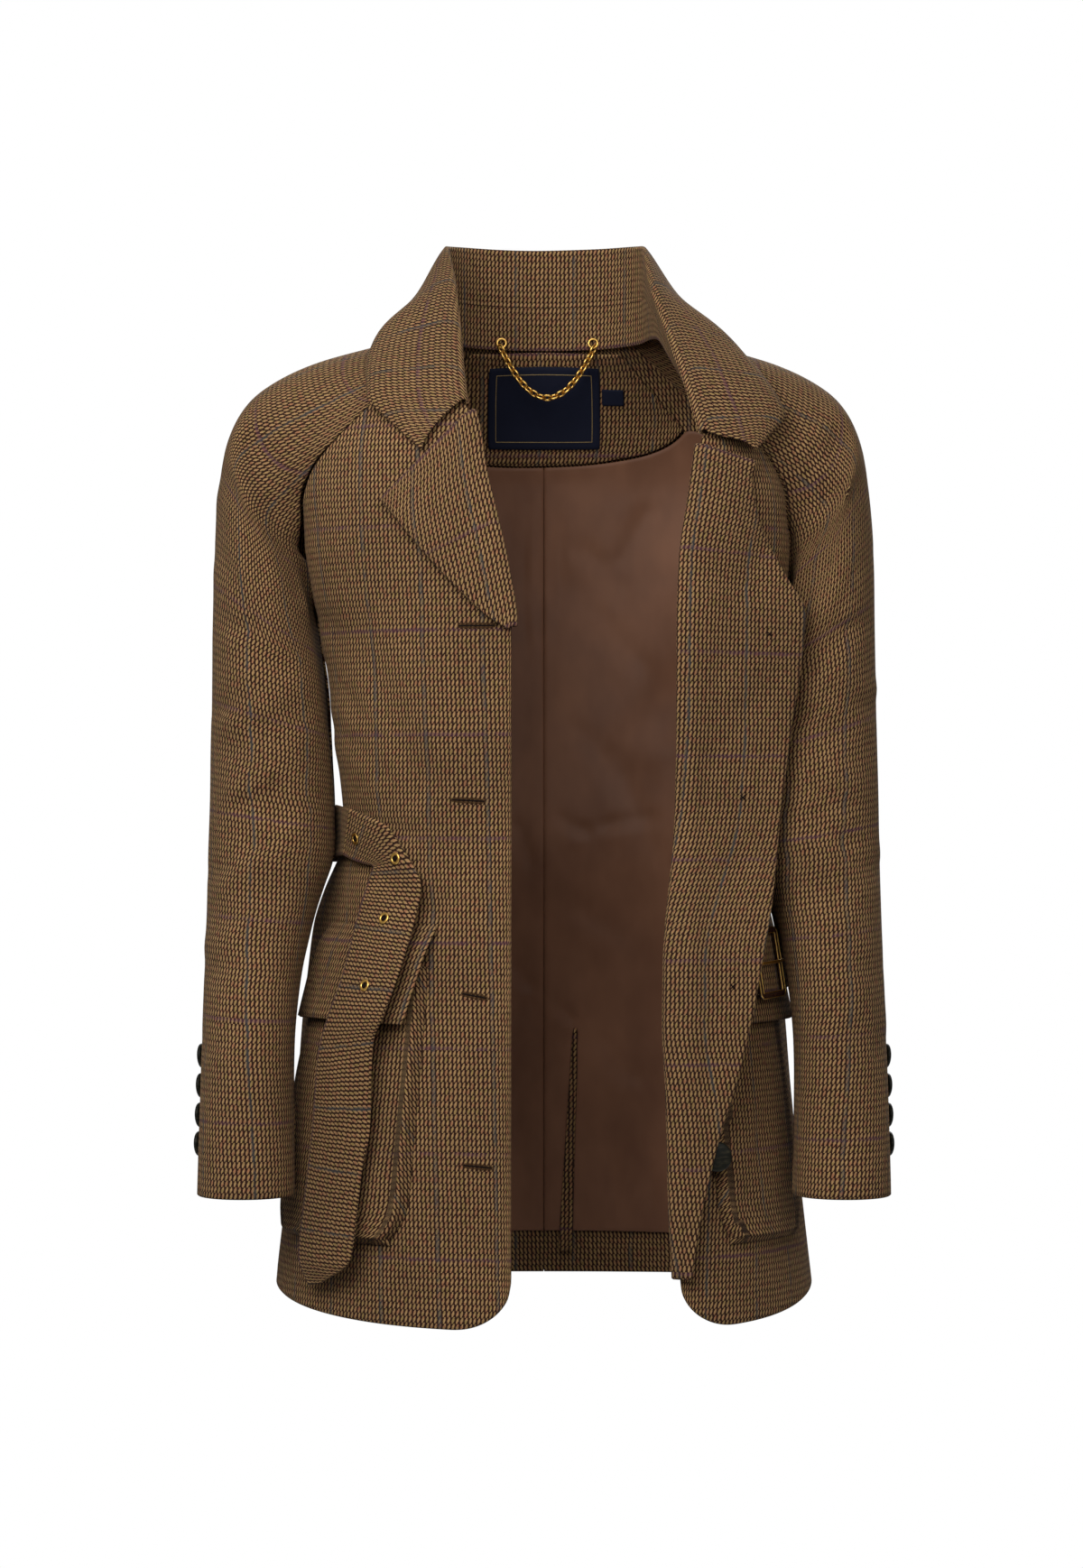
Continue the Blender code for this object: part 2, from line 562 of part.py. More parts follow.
def front_share(side, x, z):
    """Where along the front (0 to 1) a place in the front view lies."""
    shares = np.linspace(0, 0.97, 40)
    line = np.array([abs(front_point(side, z, u)[0]) for u in shares])
    top = np.argmax(line) + 1
    return float(np.interp(x, line[:top], shares[:top]))


def on_shell(surface, side, z, u, lift):
    """The shell's own point moved out along its normal."""
    step, drop = 0.01, 4.0
    across = surface(side, z, u + step) - surface(side, z, u - step)
    down = surface(side, z - drop, u) - surface(side, z + drop, u)
    normal = np.cross(across, down)
    normal /= np.linalg.norm(normal)
    facing = -1 if surface is front_point else 1
    if np.dot(normal, (side * 0.5, facing, 0)) < 0:
        normal = -normal
    return surface(side, z, u) + normal * lift


def pocket(side):
    """A pocket open at its top: gussets stand on the front and carry the outer face."""
    top_x, low_x = POCKET_INNER_X[side]
    rows = [(share, 1.0) for share in (0, 0.22, 0.44, 0.64, 0.8, 0.9, 0.965, 0.985)]
    rows += [(1.0, 0.5), (1.012, 0.0)]
    across = [(-0.02, 0.0), (0, 0.5)] + [(t, 1.0) for t in (0.03, 0.18, 0.36, 0.55, 0.75, 0.96)]
    across += [(1.0, 0.5), (1.02, 0.0)]
    grid = []
    for share, low_rise in rows:
        z = POCKET_TOP + (POCKET_LOW - POCKET_TOP) * share
        inner = front_share(side, top_x + (low_x - top_x) * share, z)
        left_over = min(max(POCKET_CORNER - (z - POCKET_LOW), 0), 0.9 * POCKET_CORNER)
        tuck = (POCKET_CORNER - math.sqrt(POCKET_CORNER ** 2 - left_over ** 2)) / 420
        start, stop = inner + tuck, POCKET_OUTER[side] - tuck
        base = PATCH_GAP + max(share - 0.9, 0) * 12
        full = POCKET_DEPTH[side] * (0.75 + 0.25 * share)
        line = []
        for t, rise in across:
            swell = full * (1 + POCKET_SWELL * math.sin(math.pi * t) * share)
            lift = base + (swell - base) * min(rise, low_rise)
            line.append(on_shell(front_point, side, z, start + (stop - start) * t, lift))
        grid.append(line)
    return np.array(grid)


def flap(side):
    """A flap hung from its top seam, standing off over the pocket."""
    top_x, low_x = FLAP_INNER_X[side]
    top_lift, low_lift = FLAP_LIFT[side]
    grid = []
    for share in np.linspace(0, 1, 5):
        z = FLAP_TOP + (FLAP_LOW - FLAP_TOP) * share
        inner = front_share(side, top_x + (low_x - top_x) * share, z)
        lift = top_lift + (low_lift - top_lift) * share ** 0.5
        grid.append([on_shell(front_point, side, z, inner + (FLAP_OUTER[side] - inner) * t,
                              lift * (1 - FLAP_EASE[side] * t * t * share)) for t in np.linspace(0, 1, 7)])
    return np.array(grid)


for side in (RIGHT, LEFT):
    wall(f"pocket_{SIDE_NAME[side]}", pocket(side), CLOTH, outward_of(side * 0.5, -1.0))
    wall(f"flap_{SIDE_NAME[side]}", flap(side), DOUBLE_CLOTH, outward_of(side * 0.5, -1.0))

# The belt: a free tail that hangs over the right pocket, rows from its point upwards with a
# lower or left edge (a) and an upper or right edge (b), then its way round the back by s,
# which is -1 and 1 at the side seams and 0 at the centre back, and the drop to the buckle.
BELT_TAIL = table(
    "row a_x a_z b_x b_z lift",
    (0, 182, -737, 172, -735, 24), (1, 190, -714, 149, -714, 30), (2, 182, -643, 140, -646, 30),
    (3, 179, -613, 134, -613, 30), (4, 175, -561, 132, -553, 37), (5, 167, -531, 124, -529, 42),
    (6, 156, -500, 114, -502, 38), (7, 145, -455, 101, -459, 21), (8, 138, -431, 96, -431, 13),
    (9, 133, -416, 107, -407, 10), (10, 137, -414, 122, -383, 8), (11, 146, -411, 136, -375, 8),
    (12, 152, -408, 147, -371, 8))
BELT_WRAP = table(
    "s z lift", (-1.03, -391, 8), (-0.9, -394, 7), (0, -394, 4.4), (0.5, -396, 5), (0.75, -402, 7),
    (0.9, -414, 8), (1.0, -432, 8), (1.08, -460, 8), (1.14, -474, 9), (1.2, -485, 14), (1.3, -492, 16),
    (1.62, -494, 16.5))


def tail_point(row, t):
    """The belt's tail over the right front."""
    a_x, a_z, b_x, b_z, lift = read(BELT_TAIL, "row", row, "a_x", "a_z", "b_x", "b_z", "lift")
    x, z = a_x + (b_x - a_x) * t, a_z + (b_z - a_z) * t
    hung = np.array((-x, front_depth(RIGHT, x, z) - lift, z))
    laid = on_shell(front_point, RIGHT, z, front_share(RIGHT, x, z), lift)
    return hung + (laid - hung) * min(max((row - 9) / 1.5, 0), 1)


def wrap_point(s, t, extra=0.0):
    """The belt round the body; t runs across it from the lower (0) to the upper edge (1)."""
    z, lift = read(BELT_WRAP, "s", s, "z", "lift")
    side = RIGHT if s < 0 else LEFT
    surface, u = (back_point, abs(s)) if abs(s) <= 1 else (front_point, 2 - abs(s))
    return on_shell(surface, side, z + BELT_WIDTH * (t - 0.5), u, lift + extra)


belt_columns = (0, 0.5, 1)
belt_rows = [[tail_point(row, t) for t in belt_columns] for row in np.linspace(0, 12, 22)]
belt_rows += [[wrap_point(s, t) for t in belt_columns]
              for s in (-1.02, -0.94, -0.8, -0.64, -0.48, -0.32, -0.16, 0.001, 0.16, 0.32, 0.48, 0.64, 0.76,
                        0.86, 0.95, 1.02, 1.08, 1.14, 1.2, 1.28, 1.36, 1.44, 1.53, 1.62)]
wall("belt", np.array(belt_rows), BELT_THICK, outward_of(RIGHT, 0.2))
LOOP_AT, LOOP_HALF, LOOP_THICK, LOOP_OVER, LOOP_FOOT = 0.7, 0.03, 1.4, 2.6, 0.7
for side in (RIGHT, LEFT):
    z, lift = read(BELT_WRAP, "s", side * LOOP_AT, "z", "lift")
    over = lift + LOOP_OVER
    columns = (LOOP_AT - LOOP_HALF, LOOP_AT, LOOP_AT + LOOP_HALF)
    grid = [[on_shell(back_point, side, z + up, u, off) for u in columns]
            for up, off in ((30, LOOP_FOOT), (26, over), (0, over), (-26, over), (-30, LOOP_FOOT))]
    wall(f"belt_loop_{SIDE_NAME[side]}", np.array(grid), LOOP_THICK, BACKWARD)


def frame_of(p, q, r):
    """Axes of a small flat piece: along p to q, up towards r, and out of both."""
    along = (q - p) / np.linalg.norm(q - p)
    up = r - p
    up = up - along * np.dot(up, along)
    up /= np.linalg.norm(up)
    return along, up, np.cross(along, up)


def turned_piece(name, centre, axis, profile, sides, finish, closed=False):
    """A turned piece from a profile of (radius, height) rows about an axis."""
    axis = axis / np.linalg.norm(axis)
    first = np.cross(axis, (0.3, 0.2, 0.9))
    first /= np.linalg.norm(first)
    second = np.cross(axis, first)
    points, faces, rings = [], [], []
    for radius, height in profile:
        if radius == 0:
            rings.append([len(points)] * sides)
            points.append(centre + axis * height)
            continue
        rings.append(list(range(len(points), len(points) + sides)))
        points += [centre + axis * height + radius * (first * math.cos(a) + second * math.sin(a))
                   for a in np.linspace(0, 2 * math.pi, sides, endpoint=False)]
    pairs = list(zip(rings, rings[1:] + rings[:1])) if closed else list(zip(rings, rings[1:]))
    for lower, upper in pairs:
        for i in range(sides):
            j = (i + 1) % sides
            quad = list(dict.fromkeys((lower[i], lower[j], upper[j], upper[i])))
            faces.append(tuple(quad))
    return node(name, points, faces, finish)


def button(name, seat, axis, size, finish=HORN):
    """A dished four-hole button blank with a raised rim."""
    radius, thick = size[0] / 2, size[1]
    profile = ((0, 0), (radius * 0.82, 0), (radius, thick * 0.45), (radius * 0.93, thick),
               (radius * 0.72, thick * 0.78), (0, thick * 0.7))
    return turned_piece(name, seat, axis, profile, 12, finish)


def eyelet(name, seat, axis):
    """A rolled ring about its hole."""
    outer, hole, thick = EYELET
    middle, half = (outer + hole) / 4, (outer - hole) / 4
    profile = ((middle + half, thick * 0.3), (middle, thick), (middle - half, thick * 0.3), (middle, 0))
    return turned_piece(name, seat, axis, profile, 12, GOLD, closed=True)


EYELET_PLACES = ((5.85, 0.5), (7.05, 0.5), (9.0, 0.72), (10.9, 0.5))
for i, (row, t) in enumerate(EYELET_PLACES, 1):
    here = tail_point(row, t)
    along, up, out = frame_of(here, tail_point(row + 0.2, t), tail_point(row, t + 0.2))
    out = out if out[1] < 0 else -out
    eyelet(f"eyelet_{i}", here + out * 0.5, out)

# The buckle on the belt's other end: a rectangular frame and its prong.
BUCKLE_WIDE, BUCKLE_TALL, BUCKLE_BAR, BUCKLE_THICK = 42, 55, 5, 3
BUCKLE_AT = 1.5
here = wrap_point(BUCKLE_AT, 0.5)
along, up, out = frame_of(here, wrap_point(BUCKLE_AT + 0.05, 0.5), wrap_point(BUCKLE_AT, 0.9))
out = out if out[1] < 0 else -out
seat = here + out * 0.3


def buckle_ring(wide, tall, height):
    """Corner points of one rectangle of the buckle."""
    return [seat + along * x * wide / 2 + up * y * tall / 2 + out * height
            for x, y in ((-1, -1), (1, -1), (1, 1), (-1, 1))]


# The frame's section as it goes in from its outer edge: how much narrower, and how high.
BUCKLE_SECTION = ((0, 0.4), (0, BUCKLE_THICK - 0.6), (BUCKLE_BAR, BUCKLE_THICK),
                  (2 * BUCKLE_BAR, BUCKLE_THICK - 0.6), (2 * BUCKLE_BAR, 0.4))
points = [p for less, height in BUCKLE_SECTION
          for p in buckle_ring(BUCKLE_WIDE - less, BUCKLE_TALL - less, height)]
faces = []
for k in range(len(BUCKLE_SECTION)):
    upper = 4 * ((k + 1) % len(BUCKLE_SECTION))
    faces += [(4 * k + i, 4 * k + (i + 1) % 4, upper + (i + 1) % 4, upper + i) for i in range(4)]
node("buckle_frame", points, faces, ENAMEL)
PRONG_THICK, PRONG_GAP = 2.4, 0.3
prong = []
for x in (1 - BUCKLE_WIDE / 2, BUCKLE_WIDE / 2 - 1):
    for y, h in ((-1, 0), (1, 0), (1, 1), (-1, 1)):
        height = BUCKLE_THICK + PRONG_GAP + h * PRONG_THICK
        prong.append(seat + along * x + up * y * PRONG_THICK / 2 + out * height)
faces = [(0, 1, 2, 3), (7, 6, 5, 4)] + [(i, i + 4, (i + 1) % 4 + 4, (i + 1) % 4) for i in range(4)]
node("buckle_prong", prong, faces, GOLD)

# Front buttons, sewn to the underside of the turned left front, and four on each cuff.
FRONT_BUTTON_PLACES = ((5.5, 0.71), (7.84, 0.59), (10.36, 0.66), (13.27, 1.14))
for i, (row, t) in enumerate(FRONT_BUTTON_PLACES, 1):
    here = turned_point(LEFT, row, t)
    along, up, out = frame_of(here, turned_point(LEFT, row, t - 0.1), turned_point(LEFT, row + 0.2, t))
    out = out if out[1] > 0 else -out
    button(f"front_button_{i}", here + out * (DOUBLE_CLOTH + 0.5), out, FRONT_BUTTON)
CUFF_BUTTON_Z = (-565, -587.5, -610, -632)
CUFF_BUTTON_U = 0.09
for side in (RIGHT, LEFT):
    for i, z in enumerate(CUFF_BUTTON_Z, 1):
        v = float(np.interp(-z, -SLEEVE_ROWS["ridge_z"], SLEEVE_ROWS["v"]))
        here = sleeve_point(side, 1, v, CUFF_BUTTON_U)
        along, up, out = frame_of(here, sleeve_point(side, 1, v + 0.01, CUFF_BUTTON_U),
                                  sleeve_point(side, 1, v, CUFF_BUTTON_U + 0.03))
        out = out if out[0] * side > 0 else -out
        button(f"cuff_button_{SIDE_NAME[side]}_{i}", here + out * 0.6, out, CUFF_BUTTON)

# The hanger chain across the back neck: rings at the neck seam and a sagging run between.
RING_PLACES = {RIGHT: (-34.5, 7.0), LEFT: (40.0, 6.5)}
RING_RADIUS, RING_WIRE = 3.6, 0.9
CHAIN_SAG, CHAIN_OFF = 39, 1.45


def neck_face(x):
    """Depth of the stand's inside face at the neck seam."""
    rows = np.linspace(4.5, 7.5, 31)
    line = np.array([collar_stand_point(row, 0.0) for row in rows])
    return float(np.interp(x, line[:, 0], line[:, 1]))


for side, (x, z) in RING_PLACES.items():
    profile = [(RING_RADIUS + RING_WIRE * math.cos(a), RING_WIRE * math.sin(a))
               for a in np.linspace(0, 2 * math.pi, 4, endpoint=False)]
    centre = np.array((x, neck_face(x) - RING_WIRE - CHAIN_OFF, z))
    turned_piece(f"chain_ring_{SIDE_NAME[side]}", centre, FORWARD, profile, 10, GOLD, closed=True)


def chain_point(t):
    """The chain's middle line between the rings."""
    (x0, z0), (x1, z1) = RING_PLACES[RIGHT], RING_PLACES[LEFT]
    drop = RING_RADIUS + RING_WIRE + CHAIN_THICK / 4
    x, z = x0 + (x1 - x0) * t, z0 + (z1 - z0) * t
    depth = min(neck_face(x0), neck_face(x1)) - CHAIN_THICK / 2
    return np.array((x, depth, z - drop - CHAIN_SAG * 4 * t * (1 - t)))


stations = np.linspace(0, 1, 13)
points, faces, sides = [], [], 6
for t in stations:
    ahead = chain_point(t + 0.01) - chain_point(t - 0.01)
    first = np.array((0, 1.0, 0))
    second = np.cross(ahead / np.linalg.norm(ahead), first)
    points += [chain_point(t) + CHAIN_THICK / 2 * (first * math.cos(a) + second * math.sin(a))
               for a in np.linspace(0, 2 * math.pi, sides, endpoint=False)]
for k in range(len(stations) - 1):
    here, ahead = k * sides, (k + 1) * sides
    faces += [(here + i, here + (i + 1) % sides, ahead + (i + 1) % sides, ahead + i) for i in range(sides)]
faces += [tuple(range(sides)), tuple(range(len(points) - 1, len(points) - 1 - sides, -1))]
node("hanger_chain", points, faces, GOLD)
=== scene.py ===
# %% [markdown]
# Belted tweed jacket: a lesson in dressing a plain solid model as cloth.
# The solids already hold the cut of the jacket. This script gives each cut piece a fine,
# creased shell on the same form, then sews, buttons and lights it. Sizes are millimetres
# in the frame of the solids: +Z up, the front towards -Y, +X on the wearer's left, and the
# origin in the middle of the neck base. Meshes are written in metres.

# %% Load the frame
import math
from bisect import bisect_right

import bpy
import numpy as np
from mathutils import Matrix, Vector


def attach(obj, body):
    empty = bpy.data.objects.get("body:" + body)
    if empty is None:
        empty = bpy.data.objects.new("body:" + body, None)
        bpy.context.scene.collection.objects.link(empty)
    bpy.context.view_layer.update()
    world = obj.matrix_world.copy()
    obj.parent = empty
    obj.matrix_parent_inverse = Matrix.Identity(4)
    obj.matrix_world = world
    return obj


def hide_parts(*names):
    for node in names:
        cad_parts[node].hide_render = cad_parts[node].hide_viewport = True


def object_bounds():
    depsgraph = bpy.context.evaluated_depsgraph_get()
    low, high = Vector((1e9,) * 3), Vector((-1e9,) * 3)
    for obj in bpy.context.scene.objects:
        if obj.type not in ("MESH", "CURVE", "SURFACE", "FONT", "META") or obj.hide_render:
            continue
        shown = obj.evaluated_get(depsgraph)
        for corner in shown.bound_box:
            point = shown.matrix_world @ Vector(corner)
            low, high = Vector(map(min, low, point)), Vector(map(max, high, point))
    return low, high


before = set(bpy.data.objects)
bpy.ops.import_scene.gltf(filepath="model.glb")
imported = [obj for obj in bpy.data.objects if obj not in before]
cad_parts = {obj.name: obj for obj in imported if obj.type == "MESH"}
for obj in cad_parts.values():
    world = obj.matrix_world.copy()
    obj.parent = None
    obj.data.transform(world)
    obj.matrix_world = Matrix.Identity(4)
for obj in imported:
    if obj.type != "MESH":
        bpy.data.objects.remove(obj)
cad_box = [list(map(float, corner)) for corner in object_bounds()]
MM = 0.001
BODY = "root"
print("frame:", len(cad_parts), "nodes, box", [round(v, 3) for corner in cad_box for v in corner])

# %% [markdown]
# The photograph looks straight at the jacket from about three metres, at hip height. A long
# lens from there keeps the cuffs and the collar at their true proportions. The sensor is
# fitted to the tall side, because the picture is taller than wide.

# %% Camera
CAMERA_AT = (-0.002, -3.0, -0.352)
LENS, TALL_SENSOR = 86.3, 36.0

scene = bpy.context.scene
camera_data = bpy.data.cameras.new("camera")
camera_data.lens = LENS
camera_data.sensor_fit = "VERTICAL"
camera_data.sensor_height = TALL_SENSOR
camera = bpy.data.objects.new("camera", camera_data)
camera.location = CAMERA_AT
camera.rotation_euler = (math.radians(90), 0, 0)
scene.collection.objects.link(camera)
scene.camera = camera
print("camera", CAMERA_AT, "lens", LENS)

# %% [markdown]
# A pale round floor lies well below the hem, since the wearer's shoulders carry the jacket, and
# nothing stands behind it, so it can be seen from all sides. The sky is plain white to the eye,
# but lights the cloth more from above than from below. One large soft key hangs a little to the
# left above the camera, with a weak fill in front and a weaker one behind. The plain Standard
# view keeps the brown and tan of the cloth as they were mixed.

# %% Stage and light
FLOOR_Z, FLOOR_RADIUS, FLOOR_SIDES = -1.3, 1.5, 96
SKY_BELOW, SKY_ABOVE = 0.03, 0.50


def round_floor():
    """A pale disc under the jacket."""
    turn = np.linspace(0, 2 * math.pi, FLOOR_SIDES, endpoint=False)
    rim = [(FLOOR_RADIUS * math.cos(a), FLOOR_RADIUS * math.sin(a), FLOOR_Z) for a in turn]
    mesh = bpy.data.meshes.new("floor")
    mesh.from_pydata(rim, [], [tuple(range(FLOOR_SIDES))])
    paint = bpy.data.materials.new("pale_floor")
    paint.use_nodes = True
    shader = paint.node_tree.nodes["Principled BSDF"]
    shader.inputs["Base Color"].default_value = (0.95, 0.95, 0.95, 1)
    shader.inputs["Roughness"].default_value = 0.9
    mesh.materials.append(paint)
    floor = bpy.data.objects.new("floor", mesh)
    floor.visible_diffuse = False
    scene.collection.objects.link(floor)
    return floor


def studio_sky():
    """White where it is seen, and as a light brighter overhead than underfoot."""
    sky = bpy.data.worlds.new("studio_sky")
    sky.use_nodes = True
    nodes, link = sky.node_tree.nodes, sky.node_tree.links.new
    way = nodes.new("ShaderNodeSeparateXYZ")
    link(nodes.new("ShaderNodeTexCoord").outputs["Generated"], way.inputs[0])
    height = nodes.new("ShaderNodeMapRange")
    for label, value in (("From Min", -0.7), ("From Max", 0.9), ("To Min", SKY_BELOW), ("To Max", SKY_ABOVE)):
        height.inputs[label].default_value = value
    link(way.outputs["Z"], height.inputs["Value"])
    lit = nodes["Background"]
    lit.inputs["Color"].default_value = (1, 1, 1, 1)
    link(height.outputs["Result"], lit.inputs["Strength"])
    seen = nodes.new("ShaderNodeBackground")
    seen.inputs["Color"].default_value = (1, 1, 1, 1)
    pick = nodes.new("ShaderNodeMixShader")
    link(nodes.new("ShaderNodeLightPath").outputs["Is Camera Ray"], pick.inputs["Fac"])
    link(lit.outputs[0], pick.inputs[1])
    link(seen.outputs[0], pick.inputs[2])
    link(pick.outputs[0], nodes["World Output"].inputs["Surface"])
    return sky


def soft_light(name, place, aim, size, watts):
    """A square soft light that looks at a point."""
    data = bpy.data.lights.new(name, "AREA")
    data.size = size
    data.energy = watts
    lamp = bpy.data.objects.new(name, data)
    lamp.location = place
    way = np.array(aim) - np.array(place)
    tilt = math.acos(-way[2] / np.linalg.norm(way))
    lamp.rotation_euler = (tilt, 0, math.atan2(way[1], way[0]) - math.pi / 2)
    scene.collection.objects.link(lamp)


round_floor()
scene.world = studio_sky()
scene.view_settings.view_transform = "Standard"
soft_light("key", (-0.6, -1.45, 0.5), (0, 0, -0.1), 1.1, 27)
soft_light("fill", (0.9, -2.3, 0.5), (0, 0, -0.1), 1.4, 18)
soft_light("behind", (0.4, 2.6, 1.2), (0, 0, -0.4), 1.8, 60)
print("stage and lights set")

# %% [markdown]
# Cloth looks like cloth because of its weave, so the finishes come first. A small set of
# helpers keeps the node trees readable: each adds one node and returns its output. All the
# tweed reads a UV map in metres that runs along the grain of each cut piece, so the teeth
# turn with the lapel and run down the sleeve.

# %% Helpers for finishes
class Finish:
    """A material with short ways to add nodes."""

    def __init__(self, name, roughness, metallic=0.0):
        self.material = bpy.data.materials.new(name)
        self.material.use_nodes = True
        self.tree = self.material.node_tree
        self.shader = self.tree.nodes["Principled BSDF"]
        self.set("Roughness", roughness)
        self.set("Metallic", metallic)

    def add(self, kind, inputs=None, **settings):
        """One node with its settings; inputs are values or sockets by name or number."""
        made = self.tree.nodes.new(kind)
        for key, value in settings.items():
            setattr(made, key, value)
        for key, value in (inputs or {}).items():
            self.put(made.inputs[key], value)
        return made

    def put(self, socket, value):
        if isinstance(value, bpy.types.NodeSocket):
            self.tree.links.new(value, socket)
        else:
            socket.default_value = value

    def set(self, label, value):
        """One input of the shader, from a value or a socket."""
        self.put(self.shader.inputs[label], value)

    def math(self, operation, a, b=0.0, c=0.0):
        return self.add("ShaderNodeMath", {0: a, 1: b, 2: c}, operation=operation).outputs[0]

    def ramp(self, value, low, high, to_low=0.0, to_high=1.0):
        """A smooth step of a value from one range to another."""
        made = self.add("ShaderNodeMapRange", {"Value": value, "From Min": low, "From Max": high,
                                               "To Min": to_low, "To Max": to_high},
                        interpolation_type="SMOOTHSTEP")
        return made.outputs["Result"]

    def blend(self, share, a, b):
        """A colour between two others."""
        made = self.add("ShaderNodeMix", {"Factor": share}, data_type="RGBA")
        for socket, value in zip([s for s in made.inputs if s.type == "RGBA"], (a, b)):
            self.put(socket, value)
        return next(s for s in made.outputs if s.type == "RGBA")

    def noise(self, vector, scale, detail=2.0, rough=0.5):
        made = self.add("ShaderNodeTexNoise", {"Vector": vector, "Scale": scale, "Detail": detail,
                                               "Roughness": rough})
        return made.outputs[0]

    def stretched(self, vector, x, y, z=1.0):
        """A vector scaled differently along each axis."""
        made = self.add("ShaderNodeMapping", {"Vector": vector, "Scale": (x, y, z)})
        return made.outputs["Vector"]

    def bump(self, height, distance, strength=1.0):
        made = self.add("ShaderNodeBump", {"Height": height, "Distance": distance, "Strength": strength})
        self.set("Normal", made.outputs["Normal"])

    def colour(self, value):
        self.set("Base Color", value)


print("finish helpers:", ", ".join(name for name in vars(Finish) if not name.startswith("_")))

# %% [markdown]
# The tweed is woven from tan and dark brown wool in small slanted teeth that stand in columns,
# about 3.5 mm apart across and 5 mm along. A thin blue-grey line runs along the columns every
# 48 mm and a mauve one runs across them every 80 mm: a common windowpane. Sine waves of the UV
# give the teeth, and noise makes the yarn uneven. A little sheen stands for the loose fibres.

# %% Tweed
COLUMN_PITCH, TOOTH_PITCH, TOOTH_SLANT = 0.0034, 0.0048, 0.42
PANE_ACROSS, PANE_ALONG, PANE_LINE = 0.048, 0.080, 0.0013
TAN, TAN_RED, TAN_OLIVE = (0.346, 0.206, 0.088, 1), (0.296, 0.130, 0.062, 1), (0.262, 0.172, 0.058, 1)
UMBER, UMBER_DEEP = (0.034, 0.011, 0.005, 1), (0.012, 0.004, 0.002, 1)
PANE_BLUE, PANE_MAUVE = (0.040, 0.047, 0.050, 1), (0.075, 0.026, 0.048, 1)
# How much the tooth's tip, the yarn and the fibre add to the columns, and where tan sets in.
TIP_SHARE, YARN_SHARE, FIBRE_SHARE = -0.42, 1.7, 1.7
TAN_FROM, TAN_FULL = 1.62, 2.06


def tweed_finish():
    """Wool tweed with slanted teeth and a thin two-colour windowpane."""
    cloth = Finish("tweed", 0.95)
    grain = cloth.add("ShaderNodeUVMap", uv_map="grain").outputs["UV"]
    sway = cloth.noise(grain, 70.0, 1.0)
    parts = cloth.add("ShaderNodeSeparateXYZ", {0: grain})
    across = cloth.math("MULTIPLY_ADD", sway, 0.0016, parts.outputs["X"])
    along = cloth.math("MULTIPLY_ADD", sway, -0.0016, parts.outputs["Y"])
    tooth = cloth.math("FRACT", cloth.math("DIVIDE", along, TOOTH_PITCH))
    lean = cloth.math("MULTIPLY_ADD", tooth, TOOTH_SLANT, cloth.math("DIVIDE", across, COLUMN_PITCH))
    column = cloth.math("COSINE", cloth.math("MULTIPLY", lean, 2 * math.pi))
    tip = cloth.math("COSINE", cloth.math("MULTIPLY", tooth, 2 * math.pi))
    fibre = cloth.noise(grain, 1100.0, 3.0, 0.7)
    yarn = cloth.noise(cloth.stretched(grain, 420.0, 130.0), 1.0, 2.0)
    field = cloth.math("MULTIPLY_ADD", tip, TIP_SHARE, column)
    field = cloth.math("MULTIPLY_ADD", yarn, YARN_SHARE, field)
    field = cloth.math("MULTIPLY_ADD", fibre, FIBRE_SHARE, field)
    light = cloth.ramp(field, TAN_FROM, TAN_FULL)
    dye = cloth.noise(grain, 190.0, 2.0, 0.6)
    tan = cloth.blend(cloth.ramp(dye, 0.50, 0.66), TAN, TAN_RED)
    tan = cloth.blend(cloth.ramp(dye, 0.48, 0.34), tan, TAN_OLIVE)
    tan = cloth.blend(cloth.ramp(yarn, 0.40, 0.70, 0.0, 0.30), tan, UMBER)
    dark = cloth.blend(cloth.ramp(fibre, 0.35, 0.65), UMBER_DEEP, UMBER)
    wool = cloth.blend(light, dark, tan)
    broken = cloth.noise(cloth.stretched(grain, 60.0, 60.0), 1.0, 3.0, 0.7)
    panes = ((along, PANE_ALONG, PANE_MAUVE, 0.55), (across, PANE_ACROSS, PANE_BLUE, 0.6))
    for value, pitch, paint, strong in panes:
        near = cloth.math("PINGPONG", value, pitch / 2)
        line = cloth.ramp(near, 0.6 * PANE_LINE, 1.5 * PANE_LINE, strong, 0.0)
        worn = cloth.math("MULTIPLY", line, cloth.ramp(broken, 0.36, 0.62, 0.1, 1.0))
        wool = cloth.blend(worn, wool, paint)
    cloud = cloth.noise(grain, 9.0, 2.0)
    light_and_dark = cloth.ramp(cloud, 0.2, 0.8, 0.88, 1.12)
    shade = cloth.add("ShaderNodeHueSaturation", {"Color": wool, "Value": light_and_dark})
    cloth.colour(shade.outputs["Color"])
    cloth.set("Sheen Weight", 0.08)
    cloth.set("Sheen Roughness", 0.45)
    cloth.set("Sheen Tint", (0.62, 0.46, 0.30, 1))
    cloth.set("Specular IOR Level", 0.2)
    cloth.bump(cloth.math("MULTIPLY_ADD", fibre, 0.6, light), 0.0009, 0.9)
    return cloth.material


TWEED = tweed_finish()
print("tweed:", round(COLUMN_PITCH / MM, 2), "mm columns")

# %% [markdown]
# The other finishes are quieter. The back lining is a brown satin that shows broad soft marks
# where it was pressed. The label is plain navy damask.

# %% Satin and label
SATIN_DEEP, SATIN_PALE = (0.118, 0.051, 0.027, 1), (0.205, 0.094, 0.052, 1)


